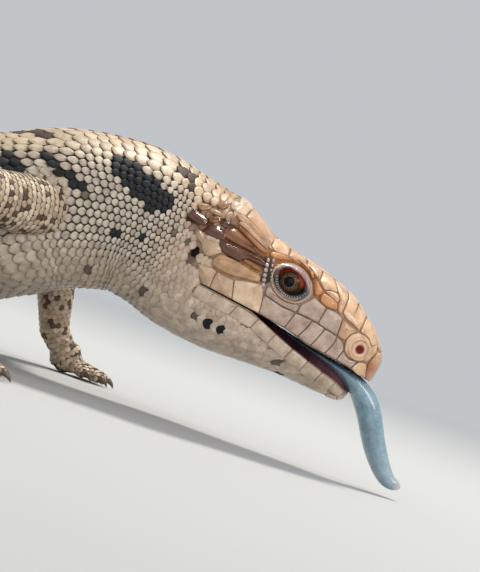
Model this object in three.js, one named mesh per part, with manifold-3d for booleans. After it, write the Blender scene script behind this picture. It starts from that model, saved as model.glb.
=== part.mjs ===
// Eastern blue tongued skink, life size, as a still model. Millimetres, +Z up.
// The animal looks along +X, its left side is +Y. Its forebody is raised on the
// forelegs, the head hangs a little with the tongue out, and the belly, hips and
// tail lie on the floor.
import * as THREE from 'three';
import Module from 'manifold-3d';

const wasm = await Module();
wasm.setup();

// Lengths along the back, from the tip of the snout to the tip of the tail.
const HEAD_END = 62;
const NECK_END = 87;
const CHEST_END = 140;
const WAIST_END = 200;
const BELLY_END = 250;
const SNOUT_TO_VENT = 310;
const TAIL_MIDDLE = 352;
const TAIL_END_START = 408;
const TOTAL_LENGTH = 485;

// Gap between neighbouring pieces, how far the resting parts are pressed flat,
// and the height of the snout's tip over the floor.
const GAP = 0.3;
const FLAT_DEPTH = 0.45;
const SNOUT_HEIGHT = 34;
const HEAD_DROOP = Math.tan(THREE.MathUtils.degToRad(9.5));

// Head landmarks: distance behind the snout's tip and height over the head's axis.
const MOUTH_CORNER = 53.5;
const EYE = { along: 32, height: 7.2, side: 13, radius: 4.1 };
const LID = { radii: [6, 5.5, 5.6], opening: [3.4, 3.1, 3.2], outward: 4.6 };
const NOSTRIL = { along: 7.3, height: 0.4, side: 9.7, radius: 1.15, depth: 1.6 };
const EAR = { along: 57.4, height: 2.3, side: 24.2, radius: [2.9, 3, 2.9] };

const deg = THREE.MathUtils.degToRad;

// A smooth curve through a few knots [at, value] that never overshoots them.
function profile(knots) {
  const rise = knots.slice(1).map((knot, i) => (knot[1] - knots[i][1]) / (knot[0] - knots[i][0]));
  const slope = knots.map((knot, i) => {
    if (i === 0) return rise[0];
    if (i === knots.length - 1) return rise[i - 1];
    return rise[i - 1] * rise[i] <= 0 ? 0 : (2 * rise[i - 1] * rise[i]) / (rise[i - 1] + rise[i]);
  });
  return (at) => {
    let i = 0;
    while (i < knots.length - 2 && at > knots[i + 1][0]) i += 1;
    const span = knots[i + 1][0] - knots[i][0];
    const t = THREE.MathUtils.clamp((at - knots[i][0]) / span, 0, 1);
    const keep = (1 + 2 * t) * (1 - t) ** 2;
    const reach = t * t * (3 - 2 * t);
    return keep * knots[i][1] + reach * knots[i + 1][1]
      + span * (t * (1 - t) ** 2 * slope[i] - t * t * (1 - t) * slope[i + 1]);
  };
}

// The body's measures at a distance behind the snout's tip: half its width, and
// how far it reaches above and below its axis.
const halfWidth = profile([
  [0, 1], [0.5, 3.2], [1.4, 5], [3, 7], [7, 9.6], [12, 12], [20, 14.9], [28, 17], [36, 19.8], [45, 22.8],
  [54, 23.8], [64, 22.6], [78, 23], [96, 26], [120, 30.5], [150, 34.5], [190, 36.5], [225, 36], [250, 31.5],
  [272, 25.5], [292, 20], [310, 16], [345, 13.4], [385, 11], [425, 8.4], [455, 6], [476, 3.6], [485, 1.2],
]);
const above = profile([
  [0, 0.3], [0.9, 2], [4, 5.4], [10.9, 10], [17.4, 12.8], [26, 14.3], [36, 15.4], [42.5, 16.9], [49, 19.8],
  [56, 21.4], [66, 21.2], [80, 21.6], [100, 22], [140, 22.5], [200, 22], [240, 20.5], [270, 17.5],
  [310, 13.4], [345, 11.4], [385, 9.2], [425, 7], [455, 5], [476, 3], [485, 1],
]);
const below = profile([
  [0, 5], [1.4, 9], [6, 13], [20, 16.4], [36, 18], [46, 19.3], [58, 19.6], [66, 19.4], [80, 20.2], [100, 22],
  [140, 22.5], [200, 21.5], [240, 20], [270, 17.5], [310, 13.8], [345, 11.8], [385, 9.6], [425, 7.4],
  [455, 5.4], [476, 3.3], [485, 1.3],
]);

// The raised part of the axis over the floor, then the part that rests.
const raised = [
  [0, SNOUT_HEIGHT], [30, SNOUT_HEIGHT + 30 * Math.sin(Math.atan(HEAD_DROOP))],
  [57, SNOUT_HEIGHT + 57 * Math.sin(Math.atan(HEAD_DROOP))], [67, 46.1], [78, 48.2], [92, 46.6],
  [110, 39.8], [130, 31.4], [150, 25], [168, 22],
];
const resting = [190, 215, 240, 270, 310, 345, 385, 425, 455, 476, TOTAL_LENGTH];
const axisHeight = profile([...raised, ...resting.map((at) => [at, below(at) - FLAT_DEPTH])]);

// Which way the axis heads, in degrees: straight at the head, in gentle bends behind.
const heading = profile([
  [0, 0], [70, 0], [92, -4], [112, -11], [145, -19], [190, -19], [240, -6], [290, 10], [340, 22],
  [390, 18], [440, -4], [485, -26],
]);

// Walks the axis backwards from the snout and remembers a point for every millimetre.
function walkAxis() {
  const points = [new THREE.Vector3(0, 0, SNOUT_HEIGHT)];
  for (let at = 1; at <= TOTAL_LENGTH; at += 1) {
    const drop = axisHeight(at) - axisHeight(at - 1);
    const run = Math.sqrt(1 - drop * drop);
    const turn = deg(heading(at - 0.5));
    const last = points[points.length - 1];
    const step = new THREE.Vector3(-run * Math.cos(turn), -run * Math.sin(turn), drop);
    points.push(last.clone().add(step));
  }
  return points;
}
const axis = new THREE.CatmullRomCurve3(walkAxis(), false, 'catmullrom', 0.5);

// The frame at a distance behind the snout: point, forward, left and up.
function frameAt(along) {
  const t = THREE.MathUtils.clamp(along / TOTAL_LENGTH, 0, 1);
  const point = axis.getPoint(t);
  const forward = axis.getTangent(t).negate();
  const left = new THREE.Vector3(0, 0, 1).cross(forward).normalize();
  const up = forward.clone().cross(left);
  return { point, forward, left, up };
}

// A point by its distance behind the snout, sideways and over the axis.
function bodyPoint(along, side, height) {
  const { point, left, up } = frameAt(along);
  return point.clone().addScaledVector(left, side).addScaledVector(up, height);
}

// A point of the body's outline, squarer where roundness is over 2. A turn of 0 is
// the left side and 90 degrees is the back.
const BODY_ROUND = { top: 2.2, bottom: 2.5 };
const HEAD_ROUND = { top: 2.5, bottom: 2.6 };
function outlinePoint(along, turn, grow, roundness) {
  const power = 2 / (Math.sin(turn) > 0 ? roundness.top : roundness.bottom);
  const side = Math.sign(Math.cos(turn)) * Math.abs(Math.cos(turn)) ** power;
  const height = Math.sign(Math.sin(turn)) * Math.abs(Math.sin(turn)) ** power;
  const reach = height > 0 ? above(along) : below(along);
  return bodyPoint(along, side * (halfWidth(along) + grow), height * (reach + grow));
}

// One closed ring of that outline.
function bodyRing(along, sides, grow = 0, roundness = BODY_ROUND) {
  const turns = Array.from({ length: sides }, (_, k) => (2 * Math.PI * k) / sides);
  return turns.map((turn) => outlinePoint(along, turn, grow, roundness));
}

// Turns a list of rings with equal counts into one closed solid. Its ends are flat,
// or the last one rises to a tip.
function loft(rings, tip = null) {
  const sides = rings[0].length;
  const points = rings.flat();
  const triangles = [];
  for (let r = 0; r < rings.length - 1; r += 1) {
    for (let k = 0; k < sides; k += 1) {
      const a = r * sides + k;
      const b = r * sides + ((k + 1) % sides);
      triangles.push(a, b, a + sides, b, b + sides, a + sides);
    }
  }
  for (const [first, flip] of [[0, true], [(rings.length - 1) * sides, false]]) {
    const centre = new THREE.Vector3();
    for (let k = 0; k < sides; k += 1) centre.addScaledVector(points[first + k], 1 / sides);
    points.push(tip && !flip ? tip : centre);
    for (let k = 0; k < sides; k += 1) {
      const a = first + k;
      const b = first + ((k + 1) % sides);
      triangles.push(...(flip ? [b, a, points.length - 1] : [a, b, points.length - 1]));
    }
  }
  return toSolid(points, triangles);
}

// A solid from points and triangles, turned the right way out.
function toSolid(points, triangles) {
  let volume = 0;
  for (let i = 0; i < triangles.length; i += 3) {
    const [a, b, c] = [0, 1, 2].map((n) => points[triangles[i + n]]);
    volume += a.dot(b.clone().cross(c));
  }
  const order = volume < 0 ? triangles.slice().reverse() : triangles;
  const vertProperties = new Float32Array(points.flatMap((p) => [p.x, p.y, p.z]));
  return new wasm.Manifold(new wasm.Mesh({ numProp: 3, vertProperties, triVerts: new Uint32Array(order) }));
}

// A ball squeezed to three radii, along forward, left and up of a frame.
function ball(centre, radii, frame, detail = 14) {
  const rings = [];
  for (let r = 1; r < detail; r += 1) {
    const polar = (Math.PI * r) / detail;
    const ring = [];
    for (let k = 0; k < detail + 4; k += 1) {
      const turn = (2 * Math.PI * k) / (detail + 4);
      ring.push(centre.clone()
        .addScaledVector(frame.left, -Math.cos(polar) * radii[1])
        .addScaledVector(frame.forward, Math.sin(polar) * Math.cos(turn) * radii[0])
        .addScaledVector(frame.up, Math.sin(polar) * Math.sin(turn) * radii[2]));
    }
    rings.push(ring);
  }
  return loft(rings);
}

// A round rod along a smooth path. Each stop is [point, half width, half thickness].
function rod(stops, sides = 12, steps = 8) {
  const path = new THREE.CatmullRomCurve3(stops.map((stop) => stop[0]), false, 'centripetal');
  const wide = profile(stops.map((stop, i) => [i / (stops.length - 1), stop[1]]));
  const thick = profile(stops.map((stop, i) => [i / (stops.length - 1), stop[2]]));
  const rings = [];
  for (let r = 0; r <= steps; r += 1) {
    const t = r / steps;
    const centre = path.getPoint(t);
    const forward = path.getTangent(t);
    const left = new THREE.Vector3(0, 0, 1).cross(forward);
    if (left.length() < 0.2) left.set(0, 1, 0).addScaledVector(forward, -forward.y);
    left.normalize();
    const up = forward.clone().cross(left);
    const ring = [];
    for (let k = 0; k < sides; k += 1) {
      const turn = (2 * Math.PI * k) / sides;
      ring.push(centre.clone()
        .addScaledVector(left, Math.cos(turn) * wide(t))
        .addScaledVector(up, Math.sin(turn) * thick(t)));
    }
    rings.push(ring);
  }
  return loft(rings);
}

// The largest closed surface of a solid.
function largest(solid) {
  return solid.decompose().reduce((best, piece) => (piece.volume() > best.volume() ? piece : best));
}

// A box from two corners, and the space over the floor.
function block(low, high) {
  const rings = [low.z, high.z].map((z) => [
    new THREE.Vector3(low.x, low.y, z), new THREE.Vector3(high.x, low.y, z),
    new THREE.Vector3(high.x, high.y, z), new THREE.Vector3(low.x, high.y, z),
  ]);
  return loft(rings);
}
const overFloor = block(new THREE.Vector3(-600, -300, 0), new THREE.Vector3(100, 300, 200));

// A length of the body between two distances, in steps of about a given size.
function bodyLength(start, end, step, sides, grow = 0) {
  const count = Math.max(2, Math.round((end - start) / step));
  const rings = [];
  for (let r = 0; r <= count; r += 1) rings.push(bodyRing(start + ((end - start) * r) / count, sides, grow));
  return loft(rings);
}

// Upper and lower edge of the open mouth, over the head's axis.
const upperLip = profile([
  [-6, -5.8], [1.2, -5.6], [11, -5.1], [19.5, -5.1], [27, -4.1], [38, -3.9], [54, -4.1],
]);
const lowerLip = profile([
  [-6, -12.6], [4.8, -11.3], [8, -10.5], [15.4, -9.3], [24, -7.7], [34, -5.2], [38, -4.3], [54, -4.4],
]);

// A slab across the head between two heights that change along it. It reaches past
// the head on both sides, and past any height where BEYOND is one of its heights.
const BEYOND = 60;
const BEFORE_SNOUT = -5;
const SLAB_STEPS = 14;
function slab(start, end, low, high) {
  const rings = [];
  const count = SLAB_STEPS;
  for (let r = 0; r <= count; r += 1) {
    const along = start + ((end - start) * r) / count;
    rings.push([
      headPoint(along, -BEYOND, low(along)), headPoint(along, BEYOND, low(along)),
      headPoint(along, BEYOND, high(along)), headPoint(along, -BEYOND, high(along)),
    ]);
  }
  return loft(rings);
}

// A point in the head's own straight frame.
const headFrame = frameAt(20);
function headPoint(along, side, height) {
  return new THREE.Vector3(0, 0, SNOUT_HEIGHT)
    .addScaledVector(headFrame.forward, -along)
    .addScaledVector(headFrame.left, side)
    .addScaledVector(headFrame.up, height);
}

// The turn on the head's outline of a height over its axis, or of a distance sideways.
function turnAtHeight(along, height) {
  const round = height > 0 ? HEAD_ROUND.top : HEAD_ROUND.bottom;
  const reach = height > 0 ? above(along) : below(along);
  return Math.sign(height) * Math.asin(Math.min(1, Math.abs(height) / reach) ** (round / 2));
}
function turnAtSide(along, side) {
  return Math.acos(Math.min(1, side / halfWidth(along)) ** (HEAD_ROUND.top / 2));
}

// Lines along the side of the head that bound its shields, as heights over the axis.
const sideLines = {
  lip: (along) => upperLip(along) + 0.4,
  labials: profile([
    [0, -1], [8, -1.9], [13, 0], [20, 1], [28, 1], [33, 2.2], [41, -1.2], [53, -1.3], [61, -1.3],
  ]),
  nasal: profile([[0, 1], [3, 2.4], [8, 3.2], [12, 3.6]]),
  loreals: profile([[12, 3.6], [17, 6], [22, 6.7], [27, 5.6]]),
  canthals: profile([[12, 7.2], [16, 9.5], [20, 11.2], [24, 12.3], [29, 13.4]]),
  lowTemporals: profile([[37, 3.3], [44, 3.5], [51, 2.9], [61, 3.2]]),
  midTemporals: profile([[37, 7.2], [44, 8.1], [51, 7.6], [61, 7.6]]),
  topTemporals: profile([[37, 10.6], [45, 12.2], [51, 12], [61, 12]]),
  parietalEdge: profile([[35, 12.7], [42, 14], [49, 16], [61, 16.8]]),
};

// Rows of shields on each side: between two side lines, cut across at distances
// behind the snout's tip.
const sideRows = [
  ['lip', 'labials', [0.7, 3.4, 7.4, 11, 14.7, 19, 23.4, 27.4, 32.9, 40.6, 53.4]],
  ['labials', 'nasal', [2.6, 12.2]],
  ['labials', 'loreals', [12.6, 16.6, 21.4, 26]],
  ['loreals', 'canthals', [13, 17, 22.3, 27.2]],
  ['labials', 'lowTemporals', [38.2, 52.6]],
  ['lowTemporals', 'midTemporals', [38, 50, 60.8]],
  ['midTemporals', 'topTemporals', [38.6, 49.6, 60.8]],
  ['topTemporals', 'parietalEdge', [36, 48.4, 60.8]],
];

// Shields on top of the head: from and to behind the snout's tip, and from and to
// sideways. A negative start lies across the middle.
const topShields = [
  [3, 8.6, 0.15, 6.4], [8.9, 14.6, -7.2, 7.2], [14.9, 20.3, 0.15, 9.2], [20.6, 34, -4.7, 4.7],
  [22.4, 27.4, 5.1, 11.2], [27.8, 32, 5.1, 11.8], [32.4, 37.4, 5.1, 12.4], [34.4, 38.8, 0.15, 4.8],
  [39.1, 47.8, -3.2, 3.2], [39.1, 48.6, 3.6, 13.8], [49, 54.6, 0.15, 16], [55, 60.8, 0.15, 16.6],
];
const SHIELD = { lift: 0.45, root: 1.1, suture: 0.22, bevel: 0.35, longest: 7, widestTurn: 0.5 };

// One raised shield from its four chart corners [along, turn], sunk at its root.
function shield(corners) {
  const middle = (a, b) => [(a[0] + b[0]) / 2, (a[1] + b[1]) / 2];
  const [a, b, c, d] = corners;
  const large = b[0] - a[0] > SHIELD.longest || Math.abs(c[1] - b[1]) > SHIELD.widestTurn;
  const rim = large ? [a, middle(a, b), b, middle(b, c), c, middle(c, d), d, middle(d, a)] : corners;
  const centre = middle(middle(a, b), middle(c, d));
  const heart = outlinePoint(...centre, 0, HEAD_ROUND);
  const lifted = (lift, inset) => rim.map(([along, turn]) => {
    const pull = inset / outlinePoint(along, turn, 0, HEAD_ROUND).distanceTo(heart);
    const [alongIn, turnIn] = [along + (centre[0] - along) * pull, turn + (centre[1] - turn) * pull];
    return outlinePoint(alongIn, turnIn, lift, HEAD_ROUND);
  });
  return loft([
    lifted(-SHIELD.root, SHIELD.suture), lifted(0.1, SHIELD.suture),
    lifted(SHIELD.lift, SHIELD.suture + SHIELD.bevel),
  ], outlinePoint(...centre, SHIELD.lift, HEAD_ROUND));
}

// All shields of the upper head.
function headShields() {
  const shields = [];
  const sided = (side, turn) => (side > 0 ? turn : Math.PI - turn);
  for (const side of [-1, 1]) {
    for (const [low, high, cuts] of sideRows) {
      for (let i = 0; i < cuts.length - 1; i += 1) {
        const corner = (along, line) => [along, sided(side, turnAtHeight(along, sideLines[line](along)))];
        shields.push(shield([
          corner(cuts[i], low), corner(cuts[i + 1], low), corner(cuts[i + 1], high), corner(cuts[i], high),
        ]));
      }
    }
    for (const [front, back, inner, outer] of topShields) {
      if (inner < 0 && side < 0) continue;
      const corner = (along, reach) => {
        return [along, sided(side * Math.sign(reach), turnAtSide(along, Math.abs(reach)))];
      };
      shields.push(shield([
        corner(front, outer), corner(back, outer), corner(back, inner), corner(front, inner),
      ]));
    }
  }
  return shields;
}

// The head behind and above the mouth, with its shields, lids and eye sockets,
// nostrils and ear cups.
function makeHead() {
  const stops = [0.1, 0.6, 1.6, 3.4, 6, 9.5, 14, 19, 25, 31, 37, 42.5, 47, 51, 56.5];
  const rings = stops.map((along) => bodyRing(along, 24, 0, HEAD_ROUND));
  rings.push(bodyRing(HEAD_END - GAP / 2, 24));
  let head = wasm.Manifold.union([loft(rings), ...headShields()]);
  head = head.subtract(slab(BEFORE_SNOUT, MOUTH_CORNER + GAP, () => -BEYOND, upperLip));
  for (const side of [-1, 1]) {
    const eye = headPoint(EYE.along, side * EYE.side, EYE.height);
    const socket = EYE.radius + GAP;
    head = head.add(ball(eye, LID.radii, headFrame, 10));
    head = head.subtract(ball(eye, [socket, socket, socket], headFrame, 8));
    const opening = headPoint(EYE.along, side * (EYE.side + LID.outward), EYE.height);
    head = head.subtract(ball(opening, LID.opening, headFrame, 8));
    const nostril = headPoint(NOSTRIL.along, side * NOSTRIL.side, NOSTRIL.height);
    head = head.subtract(ball(nostril, [NOSTRIL.radius, NOSTRIL.depth, NOSTRIL.radius], headFrame, 5));
    const ear = headPoint(EAR.along, side * EAR.side, EAR.height);
    head = head.subtract(ball(ear, EAR.radius, headFrame, 7));
  }
  return largest(head);
}

// The lower jaw in front of the mouth's corner.
const JAW_FRONT = 4.1;
const jawHalfWidth = profile([
  [4, 1.4], [4.6, 3.6], [6, 6], [9, 8.6], [14, 11.6], [20, 14], [28, 16.6], [36, 19.3], [45, 22.5],
  [54, 23.6],
]);
const jawBelow = profile([
  [4, 12.4], [4.8, 13.6], [7, 14.5], [12, 15.1], [21, 15.6], [29, 16.7], [38, 18.2], [46, 19.3], [54, 19.6],
]);
const chinShields = [5.6, 9, 13, 17.5, 22, 27, 32.5, 38.5, 45, 52.4];
const CHIN_DROP = { top: -0.4, low: -3.8 };

// A point of the jaw's outline at a turn below the horizontal.
function jawPoint(along, turn, grow = 0) {
  const power = 2 / HEAD_ROUND.bottom;
  const side = Math.sign(Math.cos(turn)) * Math.abs(Math.cos(turn)) ** power;
  const height = Math.sign(Math.sin(turn)) * Math.abs(Math.sin(turn)) ** power;
  return headPoint(along, side * (jawHalfWidth(along) + grow), height * (jawBelow(along) + grow));
}
const CHIN_TURN = 0.93;
function jawTurn(along, height) {
  return -Math.asin(Math.min(CHIN_TURN, -height / jawBelow(along)) ** (HEAD_ROUND.bottom / 2));
}

function makeLowerJaw() {
  const stops = [JAW_FRONT, 4.7, 6, 8.2, 11.5, 15.5, 20, 25, 31, 37, 43, 48, MOUTH_CORNER - GAP / 2];
  const turns = Array.from({ length: 26 }, (_, k) => (2 * Math.PI * k) / 26);
  const rings = stops.map((along) => turns.map((turn) => jawPoint(along, turn)));
  const solids = [loft(rings)];
  for (const side of [-1, 1]) {
    for (let i = 0; i < chinShields.length - 1; i += 1) {
      const [front, back] = [chinShields[i], chinShields[i + 1]];
      const { top: high, low } = CHIN_DROP;
      const rim = [[front, high], [back, high], [back, low], [front, low]];
      const lifted = (lift, inset) => rim.map(([along, drop], n) => {
        const toMiddle = n === 0 || n === 3 ? inset : -inset;
        const turn = jawTurn(along, lowerLip(along) + drop);
        return jawPoint(along + toMiddle, side > 0 ? turn : Math.PI - turn, lift);
      });
      const top = lifted(SHIELD.lift, SHIELD.suture + SHIELD.bevel);
      solids.push(loft([lifted(-SHIELD.root, SHIELD.suture), top]));
    }
  }
  return largest(wasm.Manifold.union(solids).subtract(slab(BEFORE_SNOUT, BEYOND, lowerLip, () => BEYOND)));
}

// The broad tongue, out over the lower lip and down nearly to the floor. It keeps
// a gap to both lips.
function makeTongue() {
  const at = (x, z, wide, thick) => [new THREE.Vector3(x, 0, z), wide, thick];
  const whole = rod([
    headStop(28, -6.3, 5.4, 0.9), headStop(18, -7.4, 5.6, 1.5), headStop(10, -8.2, 5.5, 2.2),
    headStop(4.4, -9.2, 5.3, 2.8), at(0.2, 21.4, 4.8, 3.5), at(6, 11.8, 4.2, 3.2), at(11.2, 5.3, 3.2, 2.4),
    at(16.2, 3.4, 1.9, 1.5),
  ], 10, 18);
  return whole
    .subtract(slab(-GAP, BEYOND, (along) => upperLip(along) - GAP, () => BEYOND))
    .subtract(slab(JAW_FRONT - GAP, BEYOND, () => -BEYOND, (along) => lowerLip(along) + GAP));
}
function headStop(along, height, wide, thick) {
  return [headPoint(along, 0, height), wide, thick];
}

// The poses of the legs. Each joint is [along the back, sideways, over the floor];
// sideways is measured from the axis to the leg's own side.
const FORELEG_RADII = { root: 9, knee: 6.6, wrist: 4.6 };
const HINDLEG_RADII = { root: 11, knee: 7.4, wrist: 4.8 };
const legs = {
  foreleg_right: {
    side: -1, radii: FORELEG_RADII, turn: -8,
    joints: [[97, 19, 43.5], [115, 46, 41.5], [108, 51, 12.5], [100, 53, 5]],
  },
  foreleg_left: {
    side: 1, radii: FORELEG_RADII, turn: -14,
    joints: [[97, 19, 42], [108, 45, 38], [97, 52, 11.5], [89, 54, 5]],
  },
  hindleg_right: {
    side: -1, radii: HINDLEG_RADII, turn: -30,
    joints: [[270, 14, 16], [256, 43, 17], [279, 51, 8], [272, 60, 4.6]],
  },
  hindleg_left: {
    side: 1, radii: HINDLEG_RADII, turn: -36,
    joints: [[270, 14, 16], [262, 45, 16.5], [286, 48, 8], [281, 58, 4.6]],
  },
};

// Toes from the inner to the outer one: length to the claw, and spread in degrees.
const FORE_TOES = [[8, 38], [11, 18], [12, 0], [10.5, -20], [8, -42]];
const HIND_TOES = [[7.5, 36], [10.5, 20], [13, 4], [14, -12], [9.5, -36]];
const TOE = { root: 2.3, middle: 1.95, end: 1.55, height: 3.1 };
const CLAW = { length: 3.8, root: 0.95, tip: 0.28 };

// How thick the middle of an upper and a lower leg is against its ends.
const LEG_SWELL = { upper: 0.98, lower: 1.1 };

// A point beside the body by its distance behind the snout and height over the floor.
function floorPoint(along, side, height) {
  const { point, left } = frameAt(along);
  const spot = point.clone().addScaledVector(left, side);
  spot.z = height;
  return spot;
}

// The space from half a gap behind a point onwards, which parts a leg at a joint.
const PAST_LEG = 90;
function halfSpace(point, forward) {
  const left = new THREE.Vector3(0, 0, 1).cross(forward).normalize();
  const up = forward.clone().cross(left);
  const corners = [[-1, -1], [1, -1], [1, 1], [-1, 1]].map(([u, v]) => [u * PAST_LEG, v * PAST_LEG]);
  return loft([-GAP / 2, PAST_LEG].map((ahead) => corners.map(([u, v]) => point.clone()
    .addScaledVector(forward, ahead).addScaledVector(left, u).addScaledVector(up, v))));
}

// A length of a leg between two joints, thickest near its first third, with a round end.
function legLength(start, end, startRadius, endRadius, swell) {
  const belly = ((startRadius + endRadius) / 2) * swell;
  return rod([
    [start, startRadius, startRadius], [start.clone().lerp(end, 0.45), belly, belly],
    [end, endRadius, endRadius],
  ], 10, 4).add(ball(end, [endRadius, endRadius, endRadius], headFrame, 5));
}

// The foot from the wrist or ankle on: a palm and five toes, each with its claw.
function makeFoot(wrist, palm, radius, side, turn, toes) {
  const upright = new THREE.Vector3(0, 0, 1);
  const palmRadii = [radius * 1.2, radius * 1.2, radius * 0.85];
  const ahead = palm.clone().sub(wrist).setZ(0).normalize().applyAxisAngle(upright, side * deg(turn));
  const pieces = [
    rod([
      [wrist, radius, radius], [wrist.clone().lerp(palm, 0.6), radius * 1.15, radius * 0.9],
      [palm, palmRadii[1], palmRadii[2]],
    ], 10, 3),
    ball(palm, palmRadii, headFrame, 6),
  ];
  for (const [length, spread] of toes) {
    const way = ahead.clone().applyAxisAngle(upright, side * deg(-spread));
    const at = (distance, height) => palm.clone().addScaledVector(way, distance).setZ(height);
    pieces.push(rod([
      [at(1.5, TOE.height), TOE.root, TOE.root], [at(length * 0.6, TOE.height), TOE.middle, TOE.middle],
      [at(length + 1.2, TOE.end + 0.2), TOE.end, TOE.end],
      [at(length + 2.2, TOE.end + 0.4), CLAW.root, CLAW.root],
      [at(length + 2.2 + CLAW.length, CLAW.tip + 0.3), CLAW.tip, CLAW.tip],
    ], 5, 6));
  }
  return wasm.Manifold.union(pieces);
}

// Upper leg, lower leg and foot of one leg, a gap apart at knee and wrist.
function makeLeg(name) {
  const { side, joints, radii, turn } = legs[name];
  const [root, knee, wrist, palm] = joints.map((joint) => floorPoint(joint[0], side * joint[1], joint[2]));
  const upper = legLength(root, knee, radii.root, radii.knee, LEG_SWELL.upper);
  const lower = legLength(knee, wrist, radii.knee, radii.wrist, LEG_SWELL.lower);
  const toes = name.startsWith('fore') ? FORE_TOES : HIND_TOES;
  const foot = makeFoot(wrist, palm, radii.wrist, side, turn, toes);
  const [upperWay, lowerWay, palmWay] = [[root, knee], [knee, wrist], [wrist, palm]]
    .map(([from, to]) => to.clone().sub(from).normalize());
  const kneeWay = upperWay.clone().add(lowerWay).normalize();
  const footWay = lowerWay.clone().add(palmWay).normalize();
  return {
    upper: upper.subtract(halfSpace(knee, kneeWay)),
    lower: lower.subtract(halfSpace(knee, kneeWay.clone().negate())).subtract(halfSpace(wrist, footWay)),
    foot: foot.subtract(halfSpace(wrist, footWay.clone().negate())),
  };
}

// Colours and finish of the pieces.
const finish = {
  skin: new THREE.MeshStandardMaterial({ color: 0xb9a48c, roughness: 0.55, metalness: 0 }),
  head: new THREE.MeshStandardMaterial({ color: 0xc9a98c, roughness: 0.4, metalness: 0 }),
  leg: new THREE.MeshStandardMaterial({ color: 0x9a8166, roughness: 0.6, metalness: 0 }),
  eye: new THREE.MeshStandardMaterial({ color: 0x3a1d14, roughness: 0.1, metalness: 0 }),
  tongue: new THREE.MeshStandardMaterial({ color: 0x5f7f9c, roughness: 0.25, metalness: 0 }),
};

const model = new THREE.Group();

function addPiece(name, solid, material) {
  const mesh = solid.getMesh();
  const geometry = new THREE.BufferGeometry();
  geometry.setAttribute('position', new THREE.BufferAttribute(mesh.vertProperties, 3));
  geometry.setIndex(new THREE.BufferAttribute(mesh.triVerts, 1));
  const piece = new THREE.Mesh(geometry, material);
  piece.name = name;
  model.add(piece);
}

addPiece('head', makeHead(), finish.head);
addPiece('lower_jaw', makeLowerJaw(), finish.head);
addPiece('tongue', largest(makeTongue().intersect(overFloor)), finish.tongue);
for (const [name, side] of [['eye_right', -1], ['eye_left', 1]]) {
  const centre = headPoint(EYE.along, side * EYE.side, EYE.height);
  addPiece(name, ball(centre, [EYE.radius, EYE.radius, EYE.radius], headFrame, 9), finish.eye);
}

const lengths = [
  ['neck', HEAD_END, NECK_END, 6, 26], ['torso_front', NECK_END, CHEST_END, 6.5, 26],
  ['torso_middle', CHEST_END, WAIST_END, 7.5, 26], ['torso_rear', WAIST_END, BELLY_END, 7, 26],
  ['hips', BELLY_END, SNOUT_TO_VENT, 7, 26], ['tail_base', SNOUT_TO_VENT, TAIL_MIDDLE, 8, 20],
  ['tail_middle', TAIL_MIDDLE, TAIL_END_START, 9, 18],
  ['tail_end', TAIL_END_START, TOTAL_LENGTH + GAP / 2, 8, 14],
];
for (const [name, start, end, step, sides] of lengths) {
  const piece = bodyLength(start + GAP / 2, end - GAP / 2, step, sides);
  addPiece(name, largest(piece.intersect(overFloor)), finish.skin);
}

// The legs grow from the chest and the hips and end a gap outside their skin.
const chest = bodyLength(NECK_END - 12, CHEST_END, 6.5, 26, GAP);
const hips = bodyLength(BELLY_END - 12, SNOUT_TO_VENT, 7, 26, GAP);
for (const name of Object.keys(legs)) {
  const root = name.startsWith('fore') ? chest : hips;
  for (const [part, solid] of Object.entries(makeLeg(name))) {
    addPiece(`${name}_${part}`, largest(solid.subtract(root).intersect(overFloor)), finish.leg);
  }
}

// The origin is under the middle of the whole animal, on the floor.
const box = new THREE.Box3().setFromObject(model);
model.position.set(-(box.min.x + box.max.x) / 2, -(box.min.y + box.max.y) / 2, -box.min.z);

export default model;
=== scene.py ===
import math

import bmesh
import bpy
import numpy as np
from mathutils import Matrix, Vector
from mathutils.bvhtree import BVHTree
from mathutils.kdtree import KDTree


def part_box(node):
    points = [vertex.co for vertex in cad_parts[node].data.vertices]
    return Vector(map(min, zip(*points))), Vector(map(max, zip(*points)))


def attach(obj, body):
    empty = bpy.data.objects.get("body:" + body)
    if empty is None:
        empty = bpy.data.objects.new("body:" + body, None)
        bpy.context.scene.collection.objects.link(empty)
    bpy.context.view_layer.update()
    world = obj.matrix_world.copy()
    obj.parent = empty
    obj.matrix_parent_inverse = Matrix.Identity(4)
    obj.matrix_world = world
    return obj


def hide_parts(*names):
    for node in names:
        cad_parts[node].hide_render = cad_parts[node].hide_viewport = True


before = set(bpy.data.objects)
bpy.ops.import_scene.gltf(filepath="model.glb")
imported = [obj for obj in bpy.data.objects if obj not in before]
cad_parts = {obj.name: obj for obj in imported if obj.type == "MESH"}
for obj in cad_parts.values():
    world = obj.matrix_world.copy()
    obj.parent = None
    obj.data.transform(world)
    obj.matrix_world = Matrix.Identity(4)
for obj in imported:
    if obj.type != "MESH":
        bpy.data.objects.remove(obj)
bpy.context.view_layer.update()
bpy.ops.object.select_all(action="DESELECT")

# Camera. It stands level beside the right side of the head, as the photograph does,
# and is rolled so that the head slopes down to the right.
MM = 0.001
HEAD_DROOP = math.radians(9.5)
HEAD_FORWARD = np.array([math.cos(HEAD_DROOP), 0.0, -math.sin(HEAD_DROOP)])
HEAD_UP = np.array([math.sin(HEAD_DROOP), 0.0, math.cos(HEAD_DROOP)])
EYE = {"along": 32.0, "height": 7.2, "side": 13.0, "radius": 4.1}
VIEW = {"ahead": -42.70, "over_floor": 41.23, "away": 600.0, "roll": 19.0, "height": 154.6,
        "sensor": 36.0}


def node_middle(name):
    low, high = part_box(name)
    return (np.array(low) + np.array(high)) / 2 / MM


between_eyes = (node_middle("eye_right") + node_middle("eye_left")) / 2
SNOUT = between_eyes + HEAD_FORWARD * EYE["along"] - HEAD_UP * EYE["height"]

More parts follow.
